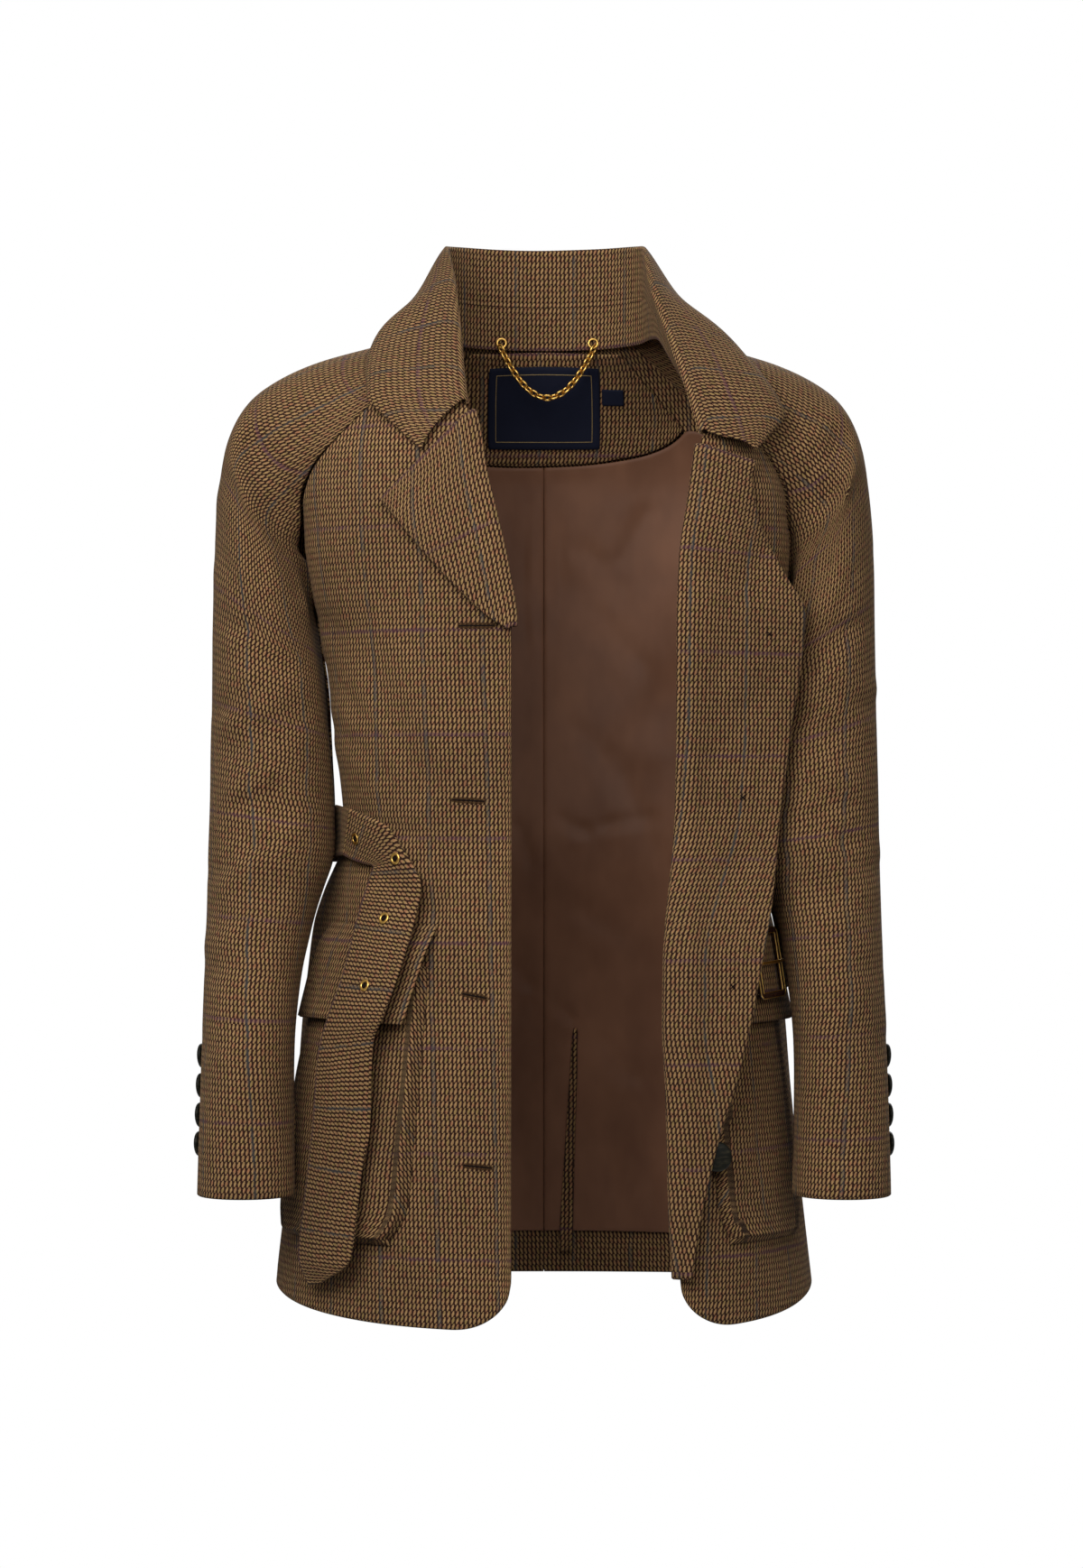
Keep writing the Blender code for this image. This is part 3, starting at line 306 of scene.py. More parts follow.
def satin_finish():
    """Brown satin: a fine twill, cloudy press marks and a low sheen."""
    satin = Finish("lining", 0.55)
    grain = satin.add("ShaderNodeUVMap", uv_map="grain").outputs["UV"]
    cloud = satin.noise(satin.stretched(grain, 9.0, 5.0), 1.0, 4.0, 0.6)
    thread = satin.noise(satin.stretched(grain, 2600.0, 900.0), 1.0, 1.0)
    satin.colour(satin.blend(satin.ramp(cloud, 0.3, 0.72), SATIN_DEEP, SATIN_PALE))
    satin.set("Roughness", satin.ramp(cloud, 0.2, 0.8, 0.5, 0.66))
    satin.set("Specular IOR Level", 0.16)
    satin.set("Sheen Weight", 0.06)
    satin.set("Sheen Tint", (0.6, 0.38, 0.26, 1))
    satin.bump(thread, 0.0001, 0.5)
    return satin.material


def label_finish():
    """Navy damask with a faint rib."""
    label = Finish("navy_label", 0.7)
    label.set("Specular IOR Level", 0.1)
    grain = label.add("ShaderNodeUVMap", uv_map="grain").outputs["UV"]
    rib = label.add("ShaderNodeTexWave", {"Vector": grain, "Scale": 420.0, "Distortion": 0.6})
    label.colour(label.blend(rib.outputs["Fac"], (0.004, 0.005, 0.012, 1), (0.009, 0.011, 0.024, 1)))
    label.bump(rib.outputs["Fac"], 0.0001, 0.6)
    return label.material


SATIN, NAVY = satin_finish(), label_finish()
print("finishes:", SATIN.name, NAVY.name)

# %% [markdown]
# Chain, eyelets and the buckle's edges are bright gold-coloured metal, the buckle's face is dark
# enamel, and the buttons are dark horn with faint streaks. Thread comes in three colours; the darkest also
# serves as painted shade in holes and slits that are not cut.

# %% Metal, horn, enamel and thread
def metal_finish():
    """Polished gold-coloured metal with fine handling marks."""
    gold = Finish("gold", 0.24, 1.0)
    place = gold.add("ShaderNodeTexCoord").outputs["Object"]
    marks = gold.noise(place, 900.0, 3.0, 0.6)
    gold.colour(gold.blend(gold.ramp(marks, 0.3, 0.7), (0.80, 0.50, 0.14, 1), (0.62, 0.36, 0.08, 1)))
    gold.set("Roughness", gold.ramp(marks, 0.3, 0.8, 0.28, 0.44))
    return gold.material


def horn_finish():
    """Dark green-black horn with lighter streaks."""
    horn = Finish("dark_horn", 0.44)
    horn.set("Specular IOR Level", 0.12)
    place = horn.add("ShaderNodeTexCoord").outputs["Object"]
    streak = horn.noise(horn.stretched(place, 160.0, 160.0, 620.0), 1.0, 4.0, 0.6)
    horn.colour(horn.blend(horn.ramp(streak, 0.45, 0.75), (0.006, 0.006, 0.004, 1), (0.026, 0.022, 0.013, 1)))
    horn.set("Roughness", horn.ramp(streak, 0.3, 0.8, 0.36, 0.52))
    return horn.material


def enamel_finish():
    """Dark glossy enamel with a trace of wear."""
    enamel = Finish("dark_enamel", 0.16)
    place = enamel.add("ShaderNodeTexCoord").outputs["Object"]
    wear = enamel.noise(place, 260.0, 4.0, 0.65)
    worn = enamel.ramp(wear, 0.5, 0.8)
    enamel.colour(enamel.blend(worn, (0.022, 0.008, 0.006, 1), (0.050, 0.018, 0.012, 1)))
    enamel.set("Roughness", enamel.ramp(wear, 0.3, 0.8, 0.12, 0.3))
    enamel.set("Coat Weight", 0.5)
    return enamel.material


def thread_finish(name, colour):
    """Twisted sewing thread."""
    thread = Finish(name, 0.85)
    thread.set("Specular IOR Level", 0.1)
    place = thread.add("ShaderNodeTexCoord").outputs["Object"]
    twist = thread.noise(place, 2400.0, 1.0)
    darker = tuple(0.6 * part for part in colour)
    thread.colour(thread.blend(thread.ramp(twist, 0.35, 0.65), (*darker, 1), (*colour, 1)))
    return thread.material


GOLD, HORN, ENAMEL = metal_finish(), horn_finish(), enamel_finish()
BROWN_THREAD = thread_finish("brown_thread", (0.070, 0.034, 0.014))
# The dark thread also paints shade: button holes, eyelet holes and buttonhole slits are not cut, and a dark
# shape of it stands in each.
DARK_THREAD_AND_SHADE = thread_finish("dark_thread_and_shade", (0.010, 0.005, 0.003))
GILT_THREAD = thread_finish("gilt_thread", (0.30, 0.21, 0.09))
print("finishes:", ", ".join(m.name for m in (GOLD, HORN, ENAMEL, BROWN_THREAD, DARK_THREAD_AND_SHADE, GILT_THREAD)))

# %% [markdown]
# The cut of the jacket is a handful of short tables: a row for each height or section, with
# named columns. A smooth curve through the rows gives every point between. The curve never
# overshoots, so two pieces that share a seam stay side by side all along it.

# %% Curves through short tables
RIGHT, LEFT = -1, 1
SIDE_NAME = {RIGHT: "right", LEFT: "left"}
FORWARD, BACKWARD = np.array((0, -1.0, 0)), np.array((0, 1.0, 0))
LINE_COLUMNS = "x0 z0 x1 z1 depth width"
curves = {}


def table(columns, *rows):
    """A short table: each column becomes an array under its own name."""
    values = np.array(rows, float)
    return {name: values[:, i] for i, name in enumerate(columns.split())}


def crease_lines(*rows, mirror=1):
    """A table of lines in the front view, each with a depth and a width; mirror -1 flips them."""
    return table(LINE_COLUMNS, *((mirror * x0, z0, mirror * x1, *rest) for x0, z0, x1, *rest in rows))


def each_line(lines):
    """The lines of such a table, one after another."""
    return zip(*(lines[column] for column in LINE_COLUMNS.split()))


def curve_of(rows, key, column):
    """Keys, values and slopes of one column, kept once worked out."""
    name = (id(rows), key, column)
    if name not in curves:
        order = np.argsort(rows[key])
        keys, values = rows[key][order], rows[column][order]
        rise = np.diff(values) / np.diff(keys)
        before, after = rise[:-1], rise[1:]
        both = before + after + (before + after == 0)
        even = np.where(before * after > 0, 2 * before * after / both, 0)
        slopes = np.concatenate((rise[:1], even, rise[-1:]))
        curves[name] = (keys.tolist(), values.tolist(), slopes.tolist())
    return curves[name]


def read(rows, key, at, *columns):
    """The table's smooth curve at one key, for some columns."""
    found = []
    for column in columns:
        keys, values, slopes = curve_of(rows, key, column)
        x = min(max(at, keys[0]), keys[-1])
        i = min(max(bisect_right(keys, x) - 1, 0), len(keys) - 2)
        span = keys[i + 1] - keys[i]
        t = (x - keys[i]) / span
        found.append((2 * t ** 3 - 3 * t ** 2 + 1) * values[i] + (t ** 3 - 2 * t ** 2 + t) * span * slopes[i]
                     + (3 * t ** 2 - 2 * t ** 3) * values[i + 1] + (t ** 3 - t ** 2) * span * slopes[i + 1])
    return found[0] if len(columns) == 1 else np.array(found)


def bezier(p0, p1, p2, p3, t):
    """A point on a cubic curve from p0 to p3."""
    s = 1 - t
    return s ** 3 * p0 + 3 * s * s * t * p1 + 3 * s * t * t * p2 + t ** 3 * p3


def ease(t):
    """A smooth step from 0 to 1."""
    return t * t * (3 - 2 * t)


print("a curve from 0 to 10 passes", bezier(0, 0, 10, 10, 0.5), "halfway")

# %% [markdown]
# Body and sleeves. The front runs from its edge to the raglan and side seam, the back from
# its centre to the same seam, and each sleeve is a front and a back half between the ridge of
# the shoulder and the underarm. The largest folds are pressed in here, as they are in the
# solids: armhole drapes, elbow breaks and the pull at the waist.

# %% Tables of the shell
CLOTH, DOUBLE_CLOTH, SATIN_CLOTH = 1.7, 2.4, 1.0
HEM_FRONT, HEM_SIDE, HEM_BACK = -766, -744, -757
# Where each front starts, at its edge and at the raglan seam.
FRONT_TOP = {RIGHT: (-24, -18), LEFT: (-84, -54)}
BACK_TOP = 6
# Where each sleeve half starts along its length, at the shoulder ridge and at the raglan seam.
SLEEVE_TOP = {(RIGHT, -1): (0.004, 0.03), (RIGHT, 1): (0.004, 0.0),
              (LEFT, -1): (0.012, 0.055), (LEFT, 1): (0.012, 0.0)}
FRONT_CORNER_RADIUS = 36
ARMPIT = -230
SLEEVE_CLEARANCE = 5.6
BELT_ROOM, BUCKLE_LEVEL = 17, -482
BELT_WIDTH, BELT_THICK = 44, 2.6

# Seams and edges of the shell. x is the distance from the centre plane; angles at a seam
# turn from outward (0) to forward (90) to inward (180), in degrees.
FRONT_SEAM = table(
    "z x y right_turn left_turn sleeve_turn",
    (10, 72, -34, 160, 160, -20), (-24, 104, -58, 158, 158, -22), (-56, 135, -70, 155, 155, -25),
    (-83, 162, -70, 146, 142, -20), (-105, 180, -62, 130, 118, -2), (-130, 189, -50, 108, 88, 24),
    (-160, 189, -32, 90, 68, 54), (-195, 182, -12, 76, 54, 76), (-230, 173, 0, 70, 50, 86),
    (-300, 163, 0, 72, 62, 90), (-394, 158, 0, 88, 84, 90), (-430, 171, 0, 104, 100, 90),
    (-465, 182, 0, 112, 106, 90), (-510, 188, 0, 106, 100, 90), (-600, 197, 0, 90, 90, 90),
    (-770, 216, 0, 90, 90, 90))
BACK_SEAM = table(
    "z x y back_turn sleeve_turn",
    (10, 66, 42, 160, -20), (-24, 104, 72, 156, -24), (-60, 140, 88, 150, -26), (-100, 168, 86, 136, -8),
    (-140, 182, 70, 118, 30), (-180, 182, 42, 104, 62), (-230, 173, 0, 90, 86), (-300, 163, 0, 80, 90),
    (-394, 158, 0, 76, 90), (-430, 171, 0, 74, 90), (-465, 182, 0, 74, 90), (-510, 188, 0, 74, 90),
    (-600, 197, 0, 80, 90), (-770, 216, 0, 90, 90))
FRONT_EDGE = {
    RIGHT: table("z x y", (0, 92, -46), (-24, 86, -64), (-44, 80, -80), (-64, 57, -97), (-113, 48, -114),
                 (-143, 41, -121), (-188, 31, -127), (-230, 25, -130), (-300, 25, -130), (-394, 25, -123),
                 (-500, 25, -134), (-650, 25, -146), (-770, 25, -152)),
    LEFT: table("z x y", (-40, 126, -74), (-84, 122, -96), (-135, 115, -108),
                (-177, 109, -112), (-230, 107, -114), (-394, 108, -104), (-500, 106, -116), (-650, 105, -128),
                (-770, 103, -136))}
FRONT_HOLD = table("z right left", (10, 0.58, 0.58), (-300, 0.58, 0.58), (-394, 0.58, 0.5),
                   (-470, 0.58, 0.36), (-700, 0.58, 0.38), (-770, 0.58, 0.45))
BACK_DEPTH = table(
    "z y", (10, 76), (-24, 90), (-60, 106), (-110, 120), (-180, 123), (-260, 111), (-394, 90), (-500, 106),
    (-650, 123), (-770, 131))

# Soft folds pressed into a sheet along a line in the front view: depth is how far the
# trough lies back, half its width on either side.
CHEST_FOLDS = {
    RIGHT: crease_lines((232, -86, 205, -136, 9, 17), (205, -136, 190, -200, 12, 15)),
    LEFT: crease_lines((236, -78, 222, -125, 9, 14), (222, -125, 205, -200, 11, 15))}
SLEEVE_FOLDS = crease_lines(
    (258, -215, 205, -262, 5, 16), (262, -330, 196, -300, 5, 18), (205, -372, 262, -402, 6, 18),
    (262, -452, 204, -430, 4, 16))
FRONT_FOLDS = {
    RIGHT: crease_lines(
        (150, -232, 92, -352, 5, 22), (146, -410, 84, -452, 5, 17), (60, -300, 40, -480, 3, 22)),
    LEFT: crease_lines((160, -250, 140, -360, 5, 20), (150, -412, 128, -470, 4, 16))}
BACK_FOLDS = crease_lines(
    (150, -240, 70, -318, 5, 26), (150, -296, 95, -330, 4, 22), (128, -470, 150, -590, 6, 26),
    (52, -480, 60, -620, 5, 26), (60, -90, 40, -200, 3, 26))

# The sleeve from the neck (0) to the cuff (1): the ridge along shoulder and outer arm, and
# the height of the raglan or underarm seam on the same row. reach is how far the section
# swells to the front and to the back.
SLEEVE_ROWS = table(
    "v ridge_x ridge_y ridge_z seam_z reach",
    (0.00, 84, 5, 12, 6, 16), (0.07, 126, 7, 0, -30, 26), (0.15, 182, 6, -16, -60, 40),
    (0.21, 212, 4, -30, -86, 50), (0.27, 233, 2, -46, -112, 60), (0.32, 246, 1, -66, -138, 70),
    (0.37, 254, -1, -90, -165, 80), (0.43, 259, -3, -124, -196, 88), (0.50, 262, -6, -170, -232, 92),
    (0.58, 263, -11, -235, -270, 90), (0.67, 264, -17, -320, -336, 86), (0.76, 265, -30, -410, -416, 80),
    (0.85, 266, -52, -500, -502, 72), (0.93, 267, -78, -590, -590, 64), (1.00, 268, -95, -668, -668, 59))
UNDERARM = table(
    "z x y", (-232, 178, 0), (-270, 172, -4), (-336, 167, -14), (-400, 165, -28), (-451, 179, -44),
    (-513, 191, -66), (-562, 194, -80), (-668, 192, -95))
print("shell tables:", len(FRONT_SEAM["z"]), "front seam rows,", len(SLEEVE_ROWS["v"]), "sleeve rows")

# %% [markdown]
# A place on a front or on the back is found from its height and its way along the panel, from
# the front edge or the centre back (0) to the seam (1).

# %% Points of the fronts and the back
def fold_depth(folds, x, z):
    """How deep the table's folds press at a place in the front view."""
    depth = 0.0
    for x0, z0, x1, z1, deep, width in each_line(folds):
        run_x, run_z = x1 - x0, z1 - z0
        length = math.hypot(run_x, run_z)
        along = ((x - x0) * run_x + (z - z0) * run_z) / length ** 2
        held = min(max(along, 0), 1)
        past = max(-along, along - 1, 0) * length
        across = math.hypot(x - x0 - held * run_x, z - z0 - held * run_z)
        depth += deep * math.exp(-(across / width) ** 2 * 2) * math.exp(-(past / width) ** 2)
    return depth


def seam_fade(u):
    """How far folds last between the edges of a sheet, at 0 and 1, where they die out."""
    return math.sin(math.pi * min(max(u, 0), 1)) ** 1.5


def front_point(side, z, u):
    """The shell's front at height z: u runs from the front edge or roll (0) to the seam (1)."""
    edge_x, edge_y = read(FRONT_EDGE[side], "z", z, "x", "y")
    edge = np.array((edge_x, edge_y))
    seam_x, seam_y, turn = read(FRONT_SEAM, "z", z, "x", "y", f"{SIDE_NAME[side]}_turn")
    seam = np.array((seam_x, seam_y))
    lean = np.array((math.cos(math.radians(turn)), -math.sin(math.radians(turn))))
    p1 = edge + np.array((0.52 * (seam_x - edge_x), -1.0))
    hold = read(FRONT_HOLD, "z", z, SIDE_NAME[side])
    p2 = seam + lean * hold * max(abs(seam_y - edge_y), 0.42 * (seam_x - edge_x))
    x, y = bezier(edge, p1, p2, seam, u)
    y += fold_depth(FRONT_FOLDS[side], x, z) * seam_fade(u)
    return np.array((side * x, y, z))


def back_point(side, z, u):
    """The shell's back at height z: u runs from the centre back (0) to the seam (1)."""
    depth = read(BACK_DEPTH, "z", z, "y")
    seam_x, seam_y, turn = read(BACK_SEAM, "z", z, "x", "y", "back_turn")
    centre, seam = np.array((0, depth)), np.array((seam_x, seam_y))
    lean = np.array((math.cos(math.radians(turn)), math.sin(math.radians(turn))))
    p1 = centre + np.array((0.55 * seam_x, 0))
    p2 = seam + lean * 0.6 * max(abs(depth - seam_y), 0.4 * seam_x)
    x, y = bezier(centre, p1, p2, seam, u)
    y -= fold_depth(BACK_FOLDS, x, z) * seam_fade(u)
    return np.array((side * x, y, z))


chest = back_point(LEFT, ARMPIT, 0)[1] - front_point(RIGHT, ARMPIT, 0)[1]
print("front to back at the armpit:", round(float(chest)), "mm")

# %% [markdown]
# A sleeve half runs from the shoulder ridge to the raglan or underarm seam. Below the armpit it
# keeps clear of the body, and the left one keeps clear of the buckle too.

# %% Points of the sleeves and the hem
def body_reach(side, y, z):
    """How far out the shell reaches at one depth and height."""
    surface = front_point if y < 0 else back_point
    line = np.array([surface(side, z, u) for u in np.linspace(0.25, 1, 24)])
    order = np.argsort(line[:, 1])
    return float(np.interp(y, line[order, 1], np.abs(line[order, 0]), left=0, right=0))


def sleeve_point(side, half, v, u):
    """The sleeve's front (-1) or back (1) half: u runs from the ridge (0) to the seam (1)."""
    ridge_x, ridge_y, ridge_z, seam_z, reach = read(
        SLEEVE_ROWS, "v", v, "ridge_x", "ridge_y", "ridge_z", "seam_z", "reach")
    rows = FRONT_SEAM if half < 0 else BACK_SEAM
    seam_x, seam_y, turn = read(rows, "z", seam_z, "x", "y", "sleeve_turn")
    under_x, under_y = read(UNDERARM, "z", seam_z, "x", "y")
    under = min(max((ARMPIT + 80 - seam_z) / 90, 0), 1)
    seam_x += (under_x - seam_x) * ease(under)
    seam_y += (under_y - seam_y) * ease(under)
    ridge = np.array((ridge_x, ridge_y, ridge_z))
    seam = np.array((seam_x, seam_y, seam_z))
    lean = np.array((math.cos(math.radians(turn)), half * math.sin(math.radians(turn)), 0))
    point = bezier(ridge, ridge + np.array((0, half * reach, 0)), seam + lean * reach, seam, u)
    fade = seam_fade(u)
    if half < 0:
        point[1] += fold_depth(CHEST_FOLDS[side], point[0], point[2]) * fade
        point[1] += fold_depth(SLEEVE_FOLDS, point[0], point[2]) * fade
    else:
        point[1] -= fold_depth(SLEEVE_FOLDS, point[0], point[2] + 24) * fade
    if point[2] < ARMPIT + 110:
        settle = min((ARMPIT + 110 - point[2]) / 50, 1)
        room = SLEEVE_CLEARANCE * settle
        if side == LEFT:
            room += BELT_ROOM * math.exp(-((point[2] - BUCKLE_LEVEL) / 46) ** 2)
        point[0] = max(point[0], body_reach(side, point[1], point[2]) + room)
    point[0] *= side
    return point


def front_hem(side, u):
    """Hem height along a front: a round corner at the edge, rising a little to the side."""
    edge_x = read(FRONT_EDGE[side], "z", HEM_FRONT, "x")
    seam_x = read(FRONT_SEAM, "z", HEM_FRONT, "x")
    run = u * (seam_x - edge_x) * 1.25
    corner = 0.0
    if run < FRONT_CORNER_RADIUS:
        left_over = FRONT_CORNER_RADIUS - run
        corner = FRONT_CORNER_RADIUS - math.sqrt(FRONT_CORNER_RADIUS ** 2 - left_over ** 2)
    return HEM_FRONT + corner + (HEM_SIDE - HEM_FRONT) * u ** 2.2


print("right cuff at", [round(float(v)) for v in sleeve_point(RIGHT, -1, 1, 0)], "mm")

# %% [markdown]
# Turned fronts, collar, inside pieces, pockets and belt come from the same kind of table. First
# the fronts that turn back on themselves. Each row goes from the roll or fold line at roll_z to
# a place on the free edge, at least the roll's lift off the front under it.

# %% Points of the turned fronts
TURNED = {
    RIGHT: table(
        "row roll_z edge_x edge_z edge_y lift",
        (0, -63, 126, -133, -106, 7), (1, -88, 118, -142, -110, 7), (2, -116, 107, -156, -116, 7),
        (3, -150, 91, -175, -124, 7), (4, -186, 67, -201, -131, 7), (5, -214, 42, -224, -136, 7),
        (6, -231, 28, -233, -137, 7)),
    LEFT: table(
        "row roll_z edge_x edge_z edge_y lift",
        (0, -90, 163, -103, -100, 8), (1, -106, 160, -115, -100, 8), (2, -136, 165, -145, -97, 8),
        (3, -162, 175, -169, -94, 8), (4, -188, 189, -194, -91, 8), (5, -214, 202, -219, -89, 8),
        (6, -258, 199, -259, -89, 8), (7, -310, 191, -310, -90, 9), (8, -373, 183, -373, -93, 12),
        (9, -442, 175, -442, -112, 24), (10, -490, 166, -490, -128, 29), (11, -535, 157, -535, -137, 29),
        (12, -580, 146, -580, -140, 25), (13, -621, 133, -621, -143, 22), (14, -680, 119, -680, -146, 18),
        (15, -728, 111, -728, -146, 11))}
ROLL_STEP, ROLL_BEHIND = 1.3, 2.0


def front_depth(side, x, z):
    """Depth of the shell's front at a place in the front view."""
    line = np.array([front_point(side, z, u) for u in np.linspace(0, 0.97, 40)])
    line = line[:np.argmax(np.abs(line[:, 0])) + 1]
    return float(np.interp(x, np.abs(line[:, 0]), line[:, 1]))


def turned_point(side, row, t):
    """A turned front: t runs from the roll (0) to the free edge (1)."""
    roll_z, edge_x, edge_z, edge_y, lift = read(
        TURNED[side], "row", row, "roll_z", "edge_x", "edge_z", "edge_y", "lift")
    roll_x, roll_y = read(FRONT_EDGE[side], "z", roll_z, "x", "y")
    x, z = roll_x + (edge_x - roll_x) * t, roll_z + (edge_z - roll_z) * t
    roll_y -= lift
    return np.array((side * x, min(front_depth(side, x, z) - lift, roll_y + (edge_y - roll_y) * t), z))


print("lapel tip at", [round(float(v)) for v in turned_point(RIGHT, 0, 1)], "mm")

# %% [markdown]
# The collar goes from the wearer's right gorge round the back to the left one. A row says where
# it is sewn to the neck, where it folds over, and where its free edge lies.

# %% Points of the collar
COLLAR = table(
    "row neck_x neck_y neck_z fold_x fold_y fold_z edge_x edge_y edge_z",
    (0, -64, -82, -54, -58, -98, -58, -95, -112, -94), (1, -68, -70, -36, -61, -88, -36, -137, -84, -54),
    (2, -75, -50, -12, -64, -66, -2, -140, -44, -22), (3, -82, -20, 4, -70, -28, 46, -130, 4, 6),
    (4, -78, 22, 9, -76, 22, 77, -108, 58, -2), (5, -44, 60, 9, -46, 60, 80, -62, 92, -10),
    (6, 0, 71, 9, 0, 70, 80, 0, 97, -14), (7, 44, 60, 9, 46, 60, 80, 62, 92, -10),
    (8, 78, 22, 9, 77, 22, 77, 108, 58, -2), (9, 88, -20, 3, 82, -26, 46, 136, 4, 5),
    (10, 98, -52, -18, 94, -58, 4, 166, -34, -24), (11, 115, -70, -52, 108, -88, -42, 188, -76, -66),
    (12, 126, -84, -80, 119, -104, -82, 163, -106, -95))
COLLAR_ENDS = ((0, 1), (11, 12))
STAND_SHARE = 0.44
COLLAR_ROLL = 4.0


def collar_row(row):
    """Neck, fold and edge points of one collar row; both ends are straight, so the tips are sharp."""
    columns = "neck_x neck_y neck_z fold_x fold_y fold_z edge_x edge_y edge_z".split()
    values = np.array(read(COLLAR, "row", row, *columns))
    for low, high in COLLAR_ENDS:
        if low < row < high:
            first, last = (np.array(read(COLLAR, "row", end, *columns)) for end in (low, high))
            values = first + (last - first) * (row - low)
    return values[:3], values[3:6], values[6:]


def collar_stand_point(row, t):
    """Inside of the stand, from the neck seam (0) to the seam under the fold (1)."""
    neck, fold, _ = collar_row(row)
    return neck + (fold - neck) * STAND_SHARE * t


def collar_fall_point(row, t):
    """The fall: up inside from the stand (-1 to 0), round the fold (to 1) and down to its edge (2)."""
    neck, fold, edge = collar_row(row)
    if t < 0:
        return fold + (neck - fold) * (1 - STAND_SHARE) * -t * 0.985
    rise = np.array((0, 0, 1.0))
    out = (edge - fold) * np.array((1, 1, 0))
    out /= np.linalg.norm(out)
    turn = math.radians(125) * min(t, 1)
    point = fold + COLLAR_ROLL * (out * (1 - math.cos(turn)) + rise * math.sin(turn))
    if t <= 1:
        return point
    length = np.linalg.norm(edge - point)
    leave = out * math.sin(turn) + rise * math.cos(turn)
    return bezier(point, point + leave * 0.3 * length, edge + (rise * 0.3 - out * 0.1) * length, edge, t - 1)


print("collar fold behind the neck at", [round(float(v)) for v in collar_fall_point(6, 0)], "mm")

# %% [markdown]
# The inside of the back shows through the open front: a facing round the neck, the lining below
# it and a strip beside the vent. Each is the back's own form, set in by a small distance.

# %% Points inside the back
LINING_HEM, LINING_GAP = -722, 3.4
FACING_INSET = CLOTH + LINING_GAP + CLOTH
LINING_INSET = CLOTH + LINING_GAP + SATIN_CLOTH
LABEL_THICK, LABEL_GAP = 0.9, 0.95
LINING_DROP = 2.2
FACING_LOW, FACING_BOW, FACING_CENTRE = -87, 0.0042, -7
FACING_TOP = -2


def back_signed(z, s):
    """The back at height z from the right seam (-1) past the centre (0) to the left seam (1)."""
    return back_point(RIGHT if s < 0 else LEFT, z, abs(s))


def back_at(x, z):
    """The back at a place in the front view."""
    side = RIGHT if x < 0 else LEFT
    line = np.array([back_point(side, z, u) for u in np.linspace(0, 0.98, 24)])
    depth = np.interp(abs(x), np.abs(line[:, 0]), line[:, 1])
    return np.array((x, depth, z))


def facing_low(s):
    """Height of the neck facing's lower edge, where the lining is sewn on."""
    return FACING_LOW + FACING_BOW * (100 * s - FACING_CENTRE) ** 2


def neck_facing_point(share, s):
    """The tweed facing inside the back neck, with a bowed lower edge."""
    return back_signed(FACING_TOP + (facing_low(s) - FACING_TOP) * share, s)


def lining_point(side, share, u):
    """One half of the satin lining inside the back."""
    top = facing_low(side * u) - LINING_DROP - 420 * max(u - 0.72, 0) ** 2
    return back_point(side, top + (LINING_HEM - top) * share, u)


VENT = table("share left_x right_x", (0, 25, 28.5), (0.5, 19, 25.5), (1, 13, 23.5))
VENT_TOP, VENT_LOW, VENT_GAP = -553, -738, 1.9


def vent_point(share, t):
    """The strip of tweed that shows beside the vent, wider towards the hem."""
    left_x, right_x = read(VENT, "share", share, "left_x", "right_x")
    return back_at(left_x + (right_x - left_x) * t, VENT_TOP + (VENT_LOW - VENT_TOP) * share)


print("neck facing ends at", round(facing_low(0)), "mm, lining at", LINING_HEM, "mm")

# %% [markdown]
# Bellows patch pockets with flaps. What lies on a panel is worked out from that panel's own
# points and moved off it, so a pocket or a flap follows every swell of the front under it.

# %% Points of the pockets
POCKET_DEPTH = {RIGHT: 11, LEFT: 6.6}
POCKET_TOP, POCKET_LOW = -493, -702
FLAP_TOP, FLAP_LOW = -462, -537
POCKET_INNER_X = {RIGHT: (90, 108), LEFT: (120, 136)}
FLAP_INNER_X = {RIGHT: (82, 100), LEFT: (116, 124)}
POCKET_CORNER = 34
POCKET_SWELL = 0.27
POCKET_OUTER = {RIGHT: 0.83, LEFT: 0.74}
FLAP_OUTER = {RIGHT: 0.83, LEFT: 0.8}
FLAP_EASE = {RIGHT: 0.25, LEFT: 0.0}
FLAP_LIFT = {RIGHT: (3.1, 21.5), LEFT: (4.2, 12.5)}
PATCH_GAP = 1.1


def front_share(side, x, z):
    """Where along the front (0 to 1) a place in the front view lies."""
    shares = np.linspace(0, 0.97, 40)
    line = np.array([abs(front_point(side, z, u)[0]) for u in shares])
    top = np.argmax(line) + 1
    return float(np.interp(x, line[:top], shares[:top]))


def on_shell(surface, side, z, u, lift):
    """The shell's own point moved out along its normal."""
    step, drop = 0.01, 4.0
    across = surface(side, z, u + step) - surface(side, z, u - step)
    down = surface(side, z - drop, u) - surface(side, z + drop, u)
    normal = np.cross(across, down)
    normal /= np.linalg.norm(normal)
    facing = -1 if surface is front_point else 1
    if np.dot(normal, (side * 0.5, facing, 0)) < 0:
        normal = -normal
    return surface(side, z, u) + normal * lift


